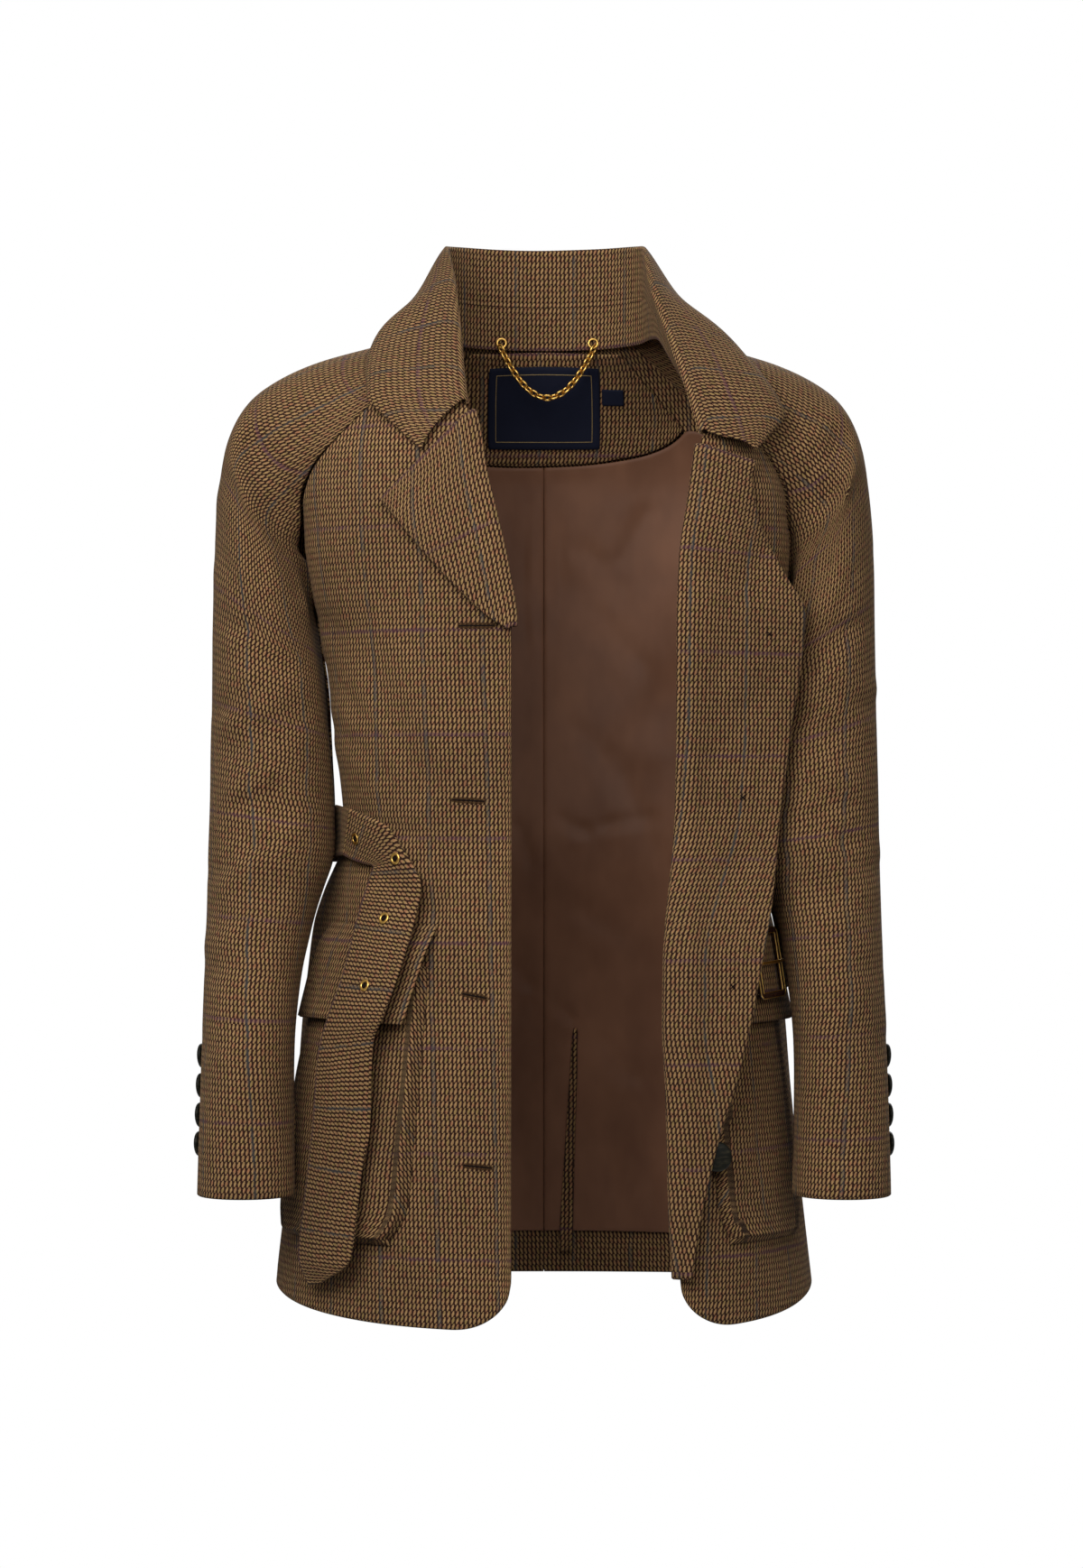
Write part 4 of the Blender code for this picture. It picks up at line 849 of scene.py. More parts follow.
def pocket(side):
    """A pocket open at its top: gussets stand on the front and carry the outer face."""
    top_x, low_x = POCKET_INNER_X[side]
    rows = [(share, 1.0) for share in (0, 0.22, 0.44, 0.64, 0.8, 0.9, 0.965, 0.985)]
    rows += [(1.0, 0.5), (1.012, 0.0)]
    across = [(-0.02, 0.0), (0, 0.5)] + [(t, 1.0) for t in (0.03, 0.18, 0.36, 0.55, 0.75, 0.96)]
    across += [(1.0, 0.5), (1.02, 0.0)]
    grid = []
    for share, low_rise in rows:
        z = POCKET_TOP + (POCKET_LOW - POCKET_TOP) * share
        inner = front_share(side, top_x + (low_x - top_x) * share, z)
        left_over = min(max(POCKET_CORNER - (z - POCKET_LOW), 0), 0.9 * POCKET_CORNER)
        tuck = (POCKET_CORNER - math.sqrt(POCKET_CORNER ** 2 - left_over ** 2)) / 420
        start, stop = inner + tuck, POCKET_OUTER[side] - tuck
        base = PATCH_GAP + max(share - 0.9, 0) * 12
        full = POCKET_DEPTH[side] * (0.75 + 0.25 * share)
        line = []
        for t, rise in across:
            swell = full * (1 + POCKET_SWELL * math.sin(math.pi * t) * share)
            lift = base + (swell - base) * min(rise, low_rise)
            line.append(on_shell(front_point, side, z, start + (stop - start) * t, lift))
        grid.append(line)
    return np.array(grid)


def flap(side):
    """A flap hung from its top seam, standing off over the pocket."""
    top_x, low_x = FLAP_INNER_X[side]
    top_lift, low_lift = FLAP_LIFT[side]
    grid = []
    for share in np.linspace(0, 1, 5):
        z = FLAP_TOP + (FLAP_LOW - FLAP_TOP) * share
        inner = front_share(side, top_x + (low_x - top_x) * share, z)
        lift = top_lift + (low_lift - top_lift) * share ** 0.5
        grid.append([on_shell(front_point, side, z, inner + (FLAP_OUTER[side] - inner) * t,
                              lift * (1 - FLAP_EASE[side] * t * t * share)) for t in np.linspace(0, 1, 7)])
    return np.array(grid)


print("pockets from", POCKET_TOP, "to", POCKET_LOW, "mm")

# %% [markdown]
# The belt has a free tail that hangs over the right pocket, with rows from its point upwards and
# a lower or left edge (a) and an upper or right edge (b). Then it goes round the back by s, which
# is -1 and 1 at the side seams and 0 at the centre back, and drops to the buckle.

# %% Points of the belt
BELT_TAIL = table(
    "row a_x a_z b_x b_z lift",
    (0, 182, -737, 172, -735, 24), (1, 190, -714, 149, -714, 30), (2, 182, -643, 140, -646, 30),
    (3, 179, -613, 134, -613, 30), (4, 175, -561, 132, -553, 37), (5, 167, -531, 124, -529, 42),
    (6, 156, -500, 114, -502, 38), (7, 145, -455, 101, -459, 21), (8, 138, -431, 96, -431, 13),
    (9, 133, -416, 107, -407, 10), (10, 137, -414, 122, -383, 8), (11, 146, -411, 136, -375, 8),
    (12, 152, -408, 147, -371, 8))
BELT_WRAP = table(
    "s z lift", (-1.03, -391, 8), (-0.9, -394, 7), (0, -394, 4.4), (0.5, -396, 5), (0.75, -402, 7),
    (0.9, -414, 8), (1.0, -432, 8), (1.08, -460, 8), (1.14, -474, 9), (1.2, -485, 14), (1.3, -492, 16),
    (1.62, -494, 16.5))


def tail_point(row, t):
    """The belt's tail over the right front."""
    a_x, a_z, b_x, b_z, lift = read(BELT_TAIL, "row", row, "a_x", "a_z", "b_x", "b_z", "lift")
    x, z = a_x + (b_x - a_x) * t, a_z + (b_z - a_z) * t
    hung = np.array((-x, front_depth(RIGHT, x, z) - lift, z))
    laid = on_shell(front_point, RIGHT, z, front_share(RIGHT, x, z), lift)
    return hung + (laid - hung) * min(max((row - 9) / 1.5, 0), 1)


def wrap_point(s, t):
    """The belt round the body; t runs across it from the lower (0) to the upper edge (1)."""
    z, lift = read(BELT_WRAP, "s", s, "z", "lift")
    side = RIGHT if s < 0 else LEFT
    surface, u = (back_point, abs(s)) if abs(s) <= 1 else (front_point, 2 - abs(s))
    return on_shell(surface, side, z + BELT_WIDTH * (t - 0.5), u, lift)


def frame_of(p, q, r, outward):
    """Axes of a small flat piece: along p to q, up towards r, and out of both to the outward side."""
    along = (q - p) / np.linalg.norm(q - p)
    up = r - p
    up = up - along * np.dot(up, along)
    up /= np.linalg.norm(up)
    out = np.cross(along, up)
    return along, up, out if np.dot(out, outward) > 0 else -out


print("belt tip at", [round(float(v)) for v in tail_point(0, 0.5)], "mm")

# %% [markdown]
# From points to cloth. A sheet of points is drawn finer with a spline, creased, and closed into
# a thin wall with a rounded rim, so it casts soft edges as real cloth does. A subdivision
# modifier would also smooth it, but would pull the seams away from their neighbours.

# %% Fine sheets
FINE_STEP = 4.0


def normals(grid):
    """Unit normals of a sheet of points, exact to second order at its edges too."""
    def places(axis):
        steps = np.linalg.norm(np.diff(grid, axis=axis), axis=2).mean(axis=1 - axis)
        return np.concatenate(((0,), np.cumsum(steps)))

    across = np.gradient(grid, places(1), axis=1, edge_order=2)
    down = np.gradient(grid, places(0), axis=0, edge_order=2)
    normal = np.cross(across, down)
    return normal / np.linalg.norm(normal, axis=2, keepdims=True)


def sheet(surface, rows, columns):
    """Points of a surface function at each row and column value."""
    return np.array([[surface(r, c) for c in columns] for r in rows])


def way_out(grid, outward):
    """Whether the sheet's own normals face out of the body (1) or in (-1)."""
    normal = normals(grid)[grid.shape[0] // 2, grid.shape[1] // 2]
    return 1 if np.dot(normal, outward) > 0 else -1


def moved(grid, distance, outward):
    """A sheet moved along its normals; outward is a direction its middle faces."""
    return grid + normals(grid) * way_out(grid, outward) * distance


def spline(values, count):
    """A smooth curve through the first axis of an array, read at more places."""
    at = np.linspace(0, len(values) - 1, count)
    i = np.clip(at.astype(int), 0, len(values) - 2)
    t = (at - i).reshape(-1, *(1,) * (values.ndim - 1))
    ends = np.concatenate((2 * values[:1] - values[1:2], values, 2 * values[-1:] - values[-2:-1]))
    p0, p1, p2, p3 = ends[i], ends[i + 1], ends[i + 2], ends[i + 3]
    return p1 + 0.5 * t * (p2 - p0 + t * (2 * p0 - 5 * p1 + 4 * p2 - p3 + t * (3 * (p1 - p2) + p3 - p0)))


def arc(grid, axis):
    """Running length along the rows (1) or down the columns (0)."""
    steps = np.linalg.norm(np.diff(grid, axis=axis), axis=2)
    return np.insert(np.cumsum(steps, axis=axis), 0, 0, axis=axis)


def finer(grid, step=FINE_STEP):
    """The sheet with a point about every step, on a spline through the given points."""
    rows = max(int(arc(grid, 0).max() / step), grid.shape[0]) + 1
    columns = max(int(arc(grid, 1).max() / step), grid.shape[1]) + 1
    return spline(spline(grid, rows).swapaxes(0, 1), columns).swapaxes(0, 1)


print("one point about every", FINE_STEP, "mm")

# %% [markdown]
# Creases are listed, a row for each, as lines in the front view with a depth and a width.
# Each is a soft trough with a low swell on one side, and its depth wanders along its length,
# because cloth never creases evenly. They die out before the seams, so neighbours still meet.

# %% Creases and slow waves
def edge_fade(grid, hold):
    """0 at the rim of a sheet, rising to 1 at a distance inside it."""
    across, down = arc(grid, 1), arc(grid, 0)
    near = np.minimum.reduce((across, across[:, -1:] - across, down, down[-1:] - down)) / hold
    return ease(np.clip(near, 0, 1))


def press(grid, creases, outward, hold=16.0):
    """The sheet with the table's soft creases pressed into it."""
    if creases is None:
        return grid
    x, z = grid[..., 0], grid[..., 2]
    amount = np.zeros(x.shape)
    for x0, z0, x1, z1, deep, width in each_line(creases):
        run_x, run_z = x1 - x0, z1 - z0
        length = math.hypot(run_x, run_z)
        along = ((x - x0) * run_x + (z - z0) * run_z) / length ** 2
        bend = 0.16 * width * np.sin(along * 5.1 + x0)
        across = ((x - x0) * run_z - (z - z0) * run_x) / length + bend
        taper = np.clip(np.minimum(along + 0.12, 1.12 - along) * 3.2, 0, 1)
        taper = ease(taper) * (1 + 0.3 * np.sin(along * 7.3 + 0.21 * z0))
        amount -= deep * taper * np.exp(-(across / width) ** 2)
        amount += 0.5 * deep * taper * np.exp(-((across - 1.9 * width) / (1.2 * width)) ** 2)
    return grid + normals(grid) * way_out(grid, outward) * (amount * edge_fade(grid, hold))[..., None]


WAVES = 7


def sway(grid, height, seed, hold=16.0):
    """The sheet with slow uneven waves, so that no large area is perfectly smooth."""
    draw = np.random.default_rng(seed)
    amount = np.zeros(grid.shape[:2])
    for _ in range(WAVES):
        way = draw.normal(size=3)
        way *= 2 * math.pi / (np.linalg.norm(way) * draw.uniform(46, 130))
        amount += np.sin(grid @ way + draw.uniform(0, 2 * math.pi))
    return grid + normals(grid) * (amount * height / WAVES * edge_fade(grid, hold))[..., None]


GUSSET, GUSSET_BIAS = 15.0, 0.85


def grain_of(grid, run, outward, start=(0.0, 0.0)):
    """UV in metres. Upright and slanted cloth hangs by its height, with columns that stand straight or
    follow its first edge, and gussets are cut on the bias. Other cloth follows its rows; strips and
    collars have columns across them. Seen from outside, the teeth lean the same way everywhere."""
    across, along = arc(grid, 1), arc(grid, 0)
    if run in ("upright", "slanted", "bellows"):
        along = -grid[..., 2]
    elif run == "collar":
        along = along - along[grid.shape[0] // 2]
    else:
        along = np.repeat(along.mean(axis=1)[:, None], grid.shape[1], axis=1)
    if run == "bellows":
        gusset = np.minimum(across, across[:, -1:] - across) < GUSSET
        across = across + np.where(gusset, GUSSET_BIAS * along, 0)
    elif run == "upright":
        across = across + np.sign(grid[:, -1:, 0] - grid[:, :1, 0]) * grid[:, :1, 0]
    face = -way_out(grid, outward)
    pair = (-face * along, across) if run in ("collar", "strip") else (face * across, along)
    return np.stack((pair[0] + start[0], pair[1] + start[1]), axis=-1) * MM


print("crease and wave helpers ready")

# %% [markdown]
# A wall of cloth has the fine sheet as its outer face, a second one inside it, and a rim that
# bulges a little, so that its edge looks turned and not sawn off. The weave goes on over the rim.

# %% Cloth walls
totals = {"triangles": 0, "pieces": 0}


def mesh_object(name, points, faces, material, uv=None):
    """One smooth mesh object from millimetre points."""
    mesh = bpy.data.meshes.new(name)
    mesh.from_pydata((np.asarray(points) * MM).tolist(), [], faces)
    mesh.materials.append(material)
    if uv is not None:
        corner = np.empty(len(mesh.loops), int)
        mesh.loops.foreach_get("vertex_index", corner)
        mesh.uv_layers.new(name="grain").data.foreach_set("uv", uv[corner].ravel())
    mesh.shade_smooth()
    thing = bpy.data.objects.new(name, mesh)
    scene.collection.objects.link(thing)
    totals["triangles"] += sum(len(f) - 2 for f in faces)
    totals["pieces"] += 1
    return thing


RIM_BULGE = 0.42


def cloth_wall(name, grid, thickness, outward, material, grain):
    """A closed thin wall with a rounded rim: the sheet is its outer face."""
    sign = way_out(grid, outward)
    inner = grid - normals(grid) * sign * thickness
    rows, columns = grid.shape[:2]
    count = rows * columns
    index = np.arange(count).reshape(rows, columns)
    quads = np.stack((index[:-1, :-1], index[:-1, 1:], index[1:, 1:], index[1:, :-1]), axis=-1).reshape(-1, 4)
    quads = quads if sign > 0 else quads[:, ::-1]
    rim = np.concatenate((index[0], index[1:, -1], index[-1, -2::-1], index[-2:0:-1, 0]))
    inward = np.concatenate((index[1], index[1:, -2], index[-2, -2::-1], index[-2:0:-1, 1]))
    outer_flat, inner_flat = grid.reshape(-1, 3), inner.reshape(-1, 3)
    away = outer_flat[rim] - outer_flat[inward]
    away /= np.linalg.norm(away, axis=1, keepdims=True) + 1e-9
    middle = (outer_flat[rim] + inner_flat[rim]) / 2 + away * thickness * RIM_BULGE
    points = np.concatenate((outer_flat, inner_flat, middle))
    ahead = np.roll(rim, -1)
    line = 2 * count + np.arange(len(rim))
    line_ahead = np.roll(line, -1)
    bands = [np.stack((ahead, rim, line, line_ahead), axis=-1),
             np.stack((line_ahead, line, count + rim, count + ahead), axis=-1)]
    bands = [band if sign > 0 else band[:, ::-1] for band in bands]
    faces = np.concatenate((quads, quads[:, ::-1] + count, *bands)).tolist()
    flat = grain.reshape(-1, 2)
    over = flat[rim] - flat[inward]
    over *= 0.5 * thickness * MM / (np.linalg.norm(over, axis=1, keepdims=True) + 1e-9)
    return mesh_object(name, points, faces, material, np.concatenate((flat, flat, flat[rim] + over)))


print("cloth: tweed", CLOTH, "mm, doubled", DOUBLE_CLOTH, "mm, satin", SATIN_CLOTH, "mm")

# %% [markdown]
# Every cloth piece is then made from its sheet, in place of the solid of the same name. Its length and
# width along the grain are worked out but not used; none of the cuts is a rectangle.

# %% Dressing a solid
def in_frame(piece, node=None):
    """The piece rides the jacket's one body, in place of a solid if one is named."""
    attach(piece, BODY)
    if node:
        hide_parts(node)


def dress(node, grid, thickness, outward, run="upright", material=TWEED,
          creases=None, wave=0.8, start=(0.0, 0.0), step=FINE_STEP):
    """A creased cloth shell in place of one solid of the same name."""
    fine = sway(press(finer(grid, step), creases, outward), wave, sum(map(ord, node)))
    grain = grain_of(fine, run, outward, start)
    piece = cloth_wall(f"{node}_cloth", fine, thickness, outward, material, grain)
    width, length = float(arc(fine, 1).max()) * MM, float(arc(fine, 0).max()) * MM
    in_frame(piece, node)
    return fine


def outward_of(side, y=0.0):
    """A direction out of the body on one side, leaning to the front or the back."""
    return np.array((side, y, 0.0))


print("dressing starts with", totals)

# %% [markdown]
# The two fronts. The right front hangs straight from the shoulder, with shallow drags from the
# armhole to the waist and a few short breaks where the loose belt pulls. The left front mostly
# hides behind its own turned-back edge, and gets similar drags.

# %% Fronts
FRONT_CREASES = {
    RIGHT: crease_lines(
        (-172, -250, -128, -330, 2.2, 9), (-166, -300, -118, -352, 1.8, 7),
        (-176, -214, -150, -268, 2.4, 8), (-60, -250, -44, -400, 1.0, 16),
        (-150, -376, -96, -392, 1.6, 6), (-92, -420, -58, -520, 1.4, 13),
        (-70, -560, -62, -730, 1.3, 18), (-120, -708, -104, -756, 1.4, 11),
        (-46, -470, -36, -600, 0.9, 12)),
    LEFT: crease_lines(
        (172, -250, 140, -330, 2.0, 9), (168, -300, 130, -350, 1.6, 7), (150, -560, 156, -700, 1.3, 14),
        (196, -600, 186, -720, 1.4, 13))}
FRONT_GRAIN = (1.5, 7.0)


def front_sheet(side):
    """One front from collar to hem, closer together at the round corner."""
    edge_top, seam_top = FRONT_TOP[side]

    def surface(share, u):
        top = edge_top + (seam_top - edge_top) * u
        return front_point(side, top + (front_hem(side, u) - top) * share, u)
    return sheet(surface, np.linspace(0, 1, 60), 0.9985 * np.linspace(0, 1, 26) ** 1.5)


fronts = {side: dress(f"front_{SIDE_NAME[side]}", front_sheet(side), CLOTH, FORWARD,
                      creases=FRONT_CREASES[side], start=FRONT_GRAIN) for side in (RIGHT, LEFT)}

# %% [markdown]
# The back is cut in two halves. It hangs from the shoulder blades, so its creases are long and
# shallow, with short ones above the belt. The camera never sees them, but a part is turned round.

# %% Back
BACK_CREASES = {
    side: crease_lines(
        (170, -246, 96, -322, 2.0, 10), (164, -288, 112, -340, 1.8, 8), (60, -330, 48, -366, 1.4, 7),
        (118, -340, 104, -368, 1.5, 7), (72, -430, 84, -560, 1.5, 14), (140, -440, 152, -620, 1.6, 16),
        (34 + 4 * side, -110, 28, -260, 1.1, 18), (104, -560, 112, -730, 1.3, 17), mirror=side)
    for side in (RIGHT, LEFT)}
SEAM_TUCK = 0.055
TUCK_HEIGHTS = (ARMPIT - 12, ARMPIT + 14, ARMPIT + 190, ARMPIT + 222)


def back_sheet(side):
    """One half of the back from the neck seam to the hem, tucked under the sleeve above the armpit."""
    def surface(share, u):
        hem = HEM_BACK + (HEM_SIDE - HEM_BACK) * u ** 2
        z = BACK_TOP + (hem - BACK_TOP) * share
        tuck = np.interp(z, TUCK_HEIGHTS, (0, 1, 1, 0))
        return back_point(side, z, u * (1 + SEAM_TUCK * tuck * u ** 8))
    return sheet(surface, np.linspace(0, 1, 56), np.linspace(0.0009, 0.9972, 20))


for side in (RIGHT, LEFT):
    dress(f"back_{SIDE_NAME[side]}", back_sheet(side), CLOTH, BACKWARD,
          creases=BACK_CREASES[side], start=(24, 7))

# %% [markdown]
# The sleeves. Each half runs from the neck over the shoulder to the cuff, and its grain follows
# the ridge, so the columns slant over the raglan shoulder and hang straight below it. Drapes fall
# from the shoulder point towards the armpit, and the elbow breaks into short uneven folds.

# %% Sleeves
SLEEVE_CREASES = {
    (side, half): crease_lines(
        (246, -110, 214, -196, 2.2, 8), (256, -168, 216, -240, 1.6, 7), (226, -70, 204, -124, 1.6, 9),
        (258 + 2 * half, -224, 224, -232, 1.6, 6), (262, -296, 214, -268 + 8 * half, 2.0, 8),
        (202, -352, 246 + 3 * side, -372, 2.4, 7), (204, -390 + 5 * side, 240, -402, 1.8, 6),
        (266, -424, 226, -404, 1.5, 7), (214, -470, 262, -500, 1.6, 9),
        (266, -556, 226, -540 - 4 * half, 1.3, 9), (218, -590, 232, -650, 1.0, 11), mirror=side)
    for side in (RIGHT, LEFT) for half in (-1, 1)}


def sleeve_sheet(side, half):
    """One sleeve half from the neck to the cuff."""
    ridge_top, seam_top = SLEEVE_TOP[side, half]

    def surface(share, u):
        top = ridge_top + (seam_top - ridge_top) * u
        return sleeve_point(side, half, top + (1 - top) * share, u)
    return sheet(surface, np.linspace(0, 1, 46), np.linspace(0.002, 0.984, 15))


sleeves = {}
for side in (RIGHT, LEFT):
    for half, word in ((-1, "front"), (1, "back")):
        sleeves[side, half] = dress(
            f"sleeve_{SIDE_NAME[side]}_{word}", sleeve_sheet(side, half), CLOTH, outward_of(side, half),
            run="rows", creases=SLEEVE_CREASES[side, half], start=(20, 10))

# %% [markdown]
# The turned fronts: the right lapel, and the left front that falls open and shows its facing all
# the way down. Each rolls round the edge of its front and lies back over it. The collar has a
# stand inside, sewn to a fall that goes up, over a round fold and down to the free edge.

# %% Turned fronts and collar
FACING_CREASES = {
    RIGHT: crease_lines((-64, -100, -104, -128, 0.9, 8), (-52, -160, -78, -178, 0.7, 7)),
    LEFT: crease_lines(
        (122, -180, 168, -210, 1.2, 10), (186, -262, 150, -300, 1.3, 9), (120, -330, 160, -352, 1.2, 9),
        (172, -400, 132, -420, 1.4, 10), (126, -470, 128, -600, 1.0, 9))}
TURNED_SHARES = (0.04, 0.12, 0.21, 0.31, 0.42, 0.54, 0.66, 0.78, 0.89, 1)
STAND_OVERLAP = 0.22


def turned_sheet(side, rows):
    """The turned sheet with its roll: round the edge of the front, then back over it."""
    grid = []
    for row in np.linspace(0, TURNED[side]["row"][-1], rows):
        roll_z, lift = read(TURNED[side], "row", row, "roll_z", "lift")
        roll_x, roll_y = read(FRONT_EDGE[side], "z", roll_z, "x", "y")
        radius = lift / 2
        turn = []
        for a in np.radians((0, 30, 60, 90, 120)):
            x = roll_x - ROLL_STEP - radius * math.sin(a)
            y = roll_y + ROLL_BEHIND - 1.3 * radius * (1 - math.cos(a))
            turn.append(np.array((side * x, y, roll_z)))
        grid.append(turn + [turned_point(side, row, t) for t in TURNED_SHARES])
    return np.array(grid)


for side, rows in ((RIGHT, 19), (LEFT, 46)):
    dress(f"facing_{SIDE_NAME[side]}", turned_sheet(side, rows), DOUBLE_CLOTH, FORWARD, run="rows",
          creases=FACING_CREASES[side], wave=0.6,
          start=(28, 0))
collar_rows = np.linspace(0, 12, 73)
fall_turns = np.concatenate((np.linspace(-1, 0, 8), np.linspace(0, 1, 7)[1:], np.linspace(1, 2, 14)[1:]))


def stand_over_seam(row, t):
    """The stand, with its lower edge a few millimetres over the facing round the back of the neck."""
    return collar_stand_point(row, t - STAND_OVERLAP * (1 - t) * np.interp(row, (2, 4, 8, 10), (0, 1, 1, 0)))


dress("collar_stand", sheet(stand_over_seam, collar_rows, np.linspace(0, 1, 6)), CLOTH, FORWARD, run="collar",
      wave=0.2, start=(24, 0))
dress("collar_fall", sheet(collar_fall_point, collar_rows, fall_turns), CLOTH, BACKWARD, run="collar",
      wave=0.5, start=(24, 30))

# %% [markdown]
# Inside the back: a tweed facing round the neck, two halves of satin lining with a loose pleat at
# the centre, a strip of tweed beside the vent, and two plain navy labels. Satin is limp, so its
# creases are many, thin and scattered, mostly across the middle of the back.

# %% Inside of the back
LINING_CREASES = {
    RIGHT: crease_lines(
        (-4, -110, -9, -190, -1.8, 4), (-9, -190, -4, -262, -1.4, 4), (-30, -120, -22, -240, 0.9, 9),
        (-26, -380, -8, -420, 1.4, 7), (-30, -500, -4, -522, 1.8, 6), (-12, -530, -4, -556, 1.4, 5),
        (-24, -620, -18, -716, 1.0, 7)),
    LEFT: crease_lines(
        (12, -120, 9, -240, 1.4, 6), (30, -150, 70, -200, 1.2, 9), (92, -120, 60, -170, 1.2, 8),
        (40, -205, 88, -262, 1.3, 9), (18, -300, 52, -330, 1.1, 8), (60, -330, 96, -420, 1.2, 10),
        (8, -378, 40, -392, 1.6, 6), (44, -388, 92, -376, 1.4, 6), (20, -450, 70, -480, 1.1, 9),
        (4, -524, 26, -552, 2.0, 5), (46, -560, 80, -600, 1.3, 9), (52, -640, 60, -718, 1.1, 8),
        (86, -640, 90, -716, 1.0, 7))}
LABEL_PLACES = {"label": (-46, 46, -8, -73), "size_tab": (48.5, 66, -25, -37)}


def laid_inside(grid, inset):
    """The back's outer points moved in to where an inside piece lies."""
    return moved(grid, -inset, BACKWARD)


grid = sheet(neck_facing_point, np.linspace(-0.05, 1, 14), np.linspace(-0.72, 0.74, 34))
dress("back_neck_facing", laid_inside(grid, FACING_INSET), CLOTH, FORWARD,
      wave=0.2)
for side in (RIGHT, LEFT):
    grid = sheet(lambda share, u: lining_point(side, share, u),
                 np.linspace(0, 1, 50), np.linspace(0.0016, 0.95, 20))
    dress(f"lining_{SIDE_NAME[side]}", laid_inside(grid, LINING_INSET), SATIN_CLOTH, FORWARD,
          material=SATIN,
          creases=LINING_CREASES[side], wave=1.3, step=3.0)
grid = sheet(vent_point, np.linspace(0, 1, 30), np.linspace(0, 1, 5))
dress("vent_underlay", laid_inside(grid, LINING_INSET + VENT_GAP + CLOTH), CLOTH, FORWARD,
      wave=0.1)
label_sheets = {}
for name, (left_x, right_x, top, low) in LABEL_PLACES.items():
    grid = sheet(lambda z, x: back_at(x, z), np.linspace(top, low, 9), np.linspace(left_x, right_x, 13))
    grid = laid_inside(grid, FACING_INSET + LABEL_GAP + LABEL_THICK)
    label_sheets[name] = dress(name, grid, LABEL_THICK, FORWARD, material=NAVY,
                               wave=0.15, step=3.0)

# %% [markdown]
# Pockets, flaps, belt and loops. The pockets are bellows: soft gussets stand on the front and carry
# a slack face that swells towards the bottom. The belt is one long strip. Its tail hangs free
# over the right pocket and flap, and the rest goes through two loops round the back.

# %% Pockets, belt and loops
POCKET_CREASES = {
    RIGHT: crease_lines((-110, -560, -118, -660, 1.2, 8), (-104, -640, -128, -690, 1.3, 7)),
    LEFT: crease_lines((150, -560, 146, -650, 1.2, 8), (170, -600, 156, -690, 1.3, 8))}
LOOP_AT, LOOP_HALF, LOOP_THICK, LOOP_OVER, LOOP_FOOT = 0.7, 0.03, 1.4, 2.6, 0.7
BELT_TURNS = (-1.02, -0.94, -0.8, -0.64, -0.48, -0.32, -0.16, 0.001, 0.16, 0.32, 0.48, 0.64, 0.76,
              0.86, 0.95, 1.02, 1.08, 1.14, 1.2, 1.28, 1.36, 1.44, 1.53, 1.62)

for side in (RIGHT, LEFT):
    word = SIDE_NAME[side]
    dress(f"pocket_{word}", pocket(side), CLOTH, outward_of(side * 0.5, -1.0), run="bellows",
          creases=POCKET_CREASES[side], wave=0.5, start=FRONT_GRAIN)
    dress(f"flap_{word}", flap(side), DOUBLE_CLOTH, outward_of(side * 0.5, -1.0), run="slanted",
          wave=0.4, start=FRONT_GRAIN)
    z, lift = read(BELT_WRAP, "s", side * LOOP_AT, "z", "lift")
    over = lift + LOOP_OVER
    columns = (LOOP_AT - LOOP_HALF, LOOP_AT, LOOP_AT + LOOP_HALF)
    grid = [[on_shell(back_point, side, z + up, u, off) for u in columns]
            for up, off in ((30, LOOP_FOOT), (26, over), (0, over), (-26, over), (-30, LOOP_FOOT))]
    dress(f"belt_loop_{word}", np.array(grid), LOOP_THICK, BACKWARD,
          wave=0.0, step=2.0)
belt_columns = np.linspace(0, 1, 5)
belt_rows = [[tail_point(row, t) for t in belt_columns] for row in np.linspace(0, 12, 40)]
belt_rows += [[wrap_point(s, t) for t in belt_columns] for s in BELT_TURNS]
dress("belt", np.array(belt_rows), BELT_THICK, outward_of(RIGHT, 0.2), run="strip",
      wave=0.3)
print("cloth so far:", totals)

# %% [markdown]
# Small hard pieces come from three shapes: a turned shape about an axis, a round tube along a line,
# and a flat bar swept round a frame. Several shapes with their own finishes join into one piece,
# which then stands in for the plain solid of the same name.

# %% Shapes for the trim
def across_of(axis):
    """Two directions square to an axis and to each other."""
    first = np.cross(axis, (0.3, 0.2, 0.9))
    first /= np.linalg.norm(first)
    return first, np.cross(axis, first)


def rings_to_faces(rings, closed):
    """Quads between rings of points, and caps at the ends where the rings don't close."""
    sides = len(rings[0])
    index = np.arange(len(rings) * sides).reshape(len(rings), sides)
    pairs = list(zip(index, np.roll(index, -1, axis=0)))
    faces = [(a[i], a[(i + 1) % sides], b[(i + 1) % sides], b[i])
             for a, b in (pairs if closed else pairs[:-1]) for i in range(sides)]
    if not closed:
        faces += [tuple(index[0][::-1]), tuple(index[-1])]
    return np.concatenate(rings), [tuple(map(int, face)) for face in faces]


def turned(centre, axis, profile, sides=40, closed=False):
    """A turned shape from rows of radius and height along an axis."""
    axis = axis / np.linalg.norm(axis)
    first, second = across_of(axis)
    turn = np.linspace(0, 2 * math.pi, sides, endpoint=False)[:, None]
    circle = np.cos(turn) * first + np.sin(turn) * second
    return rings_to_faces([centre + axis * h + circle * r for r, h in profile], closed)


def tube(line, radius, sides=8, closed=False):
    """A round tube along a line of points."""
    line = np.asarray(line, float)
    ahead = np.roll(line, -1, axis=0) - np.roll(line, 1, axis=0)
    if not closed:
        ahead[0], ahead[-1] = line[1] - line[0], line[-1] - line[-2]
    turn = np.linspace(0, 2 * math.pi, sides, endpoint=False)[:, None]
    rings = []
    for here, way in zip(line, ahead):
        way = way / np.linalg.norm(way)
        first = np.cross(way, (0.11, 0.98, 0.17))
        first /= np.linalg.norm(first)
        rings.append(here + radius * (np.cos(turn) * first + np.sin(turn) * np.cross(way, first)))
    return rings_to_faces(rings, closed)


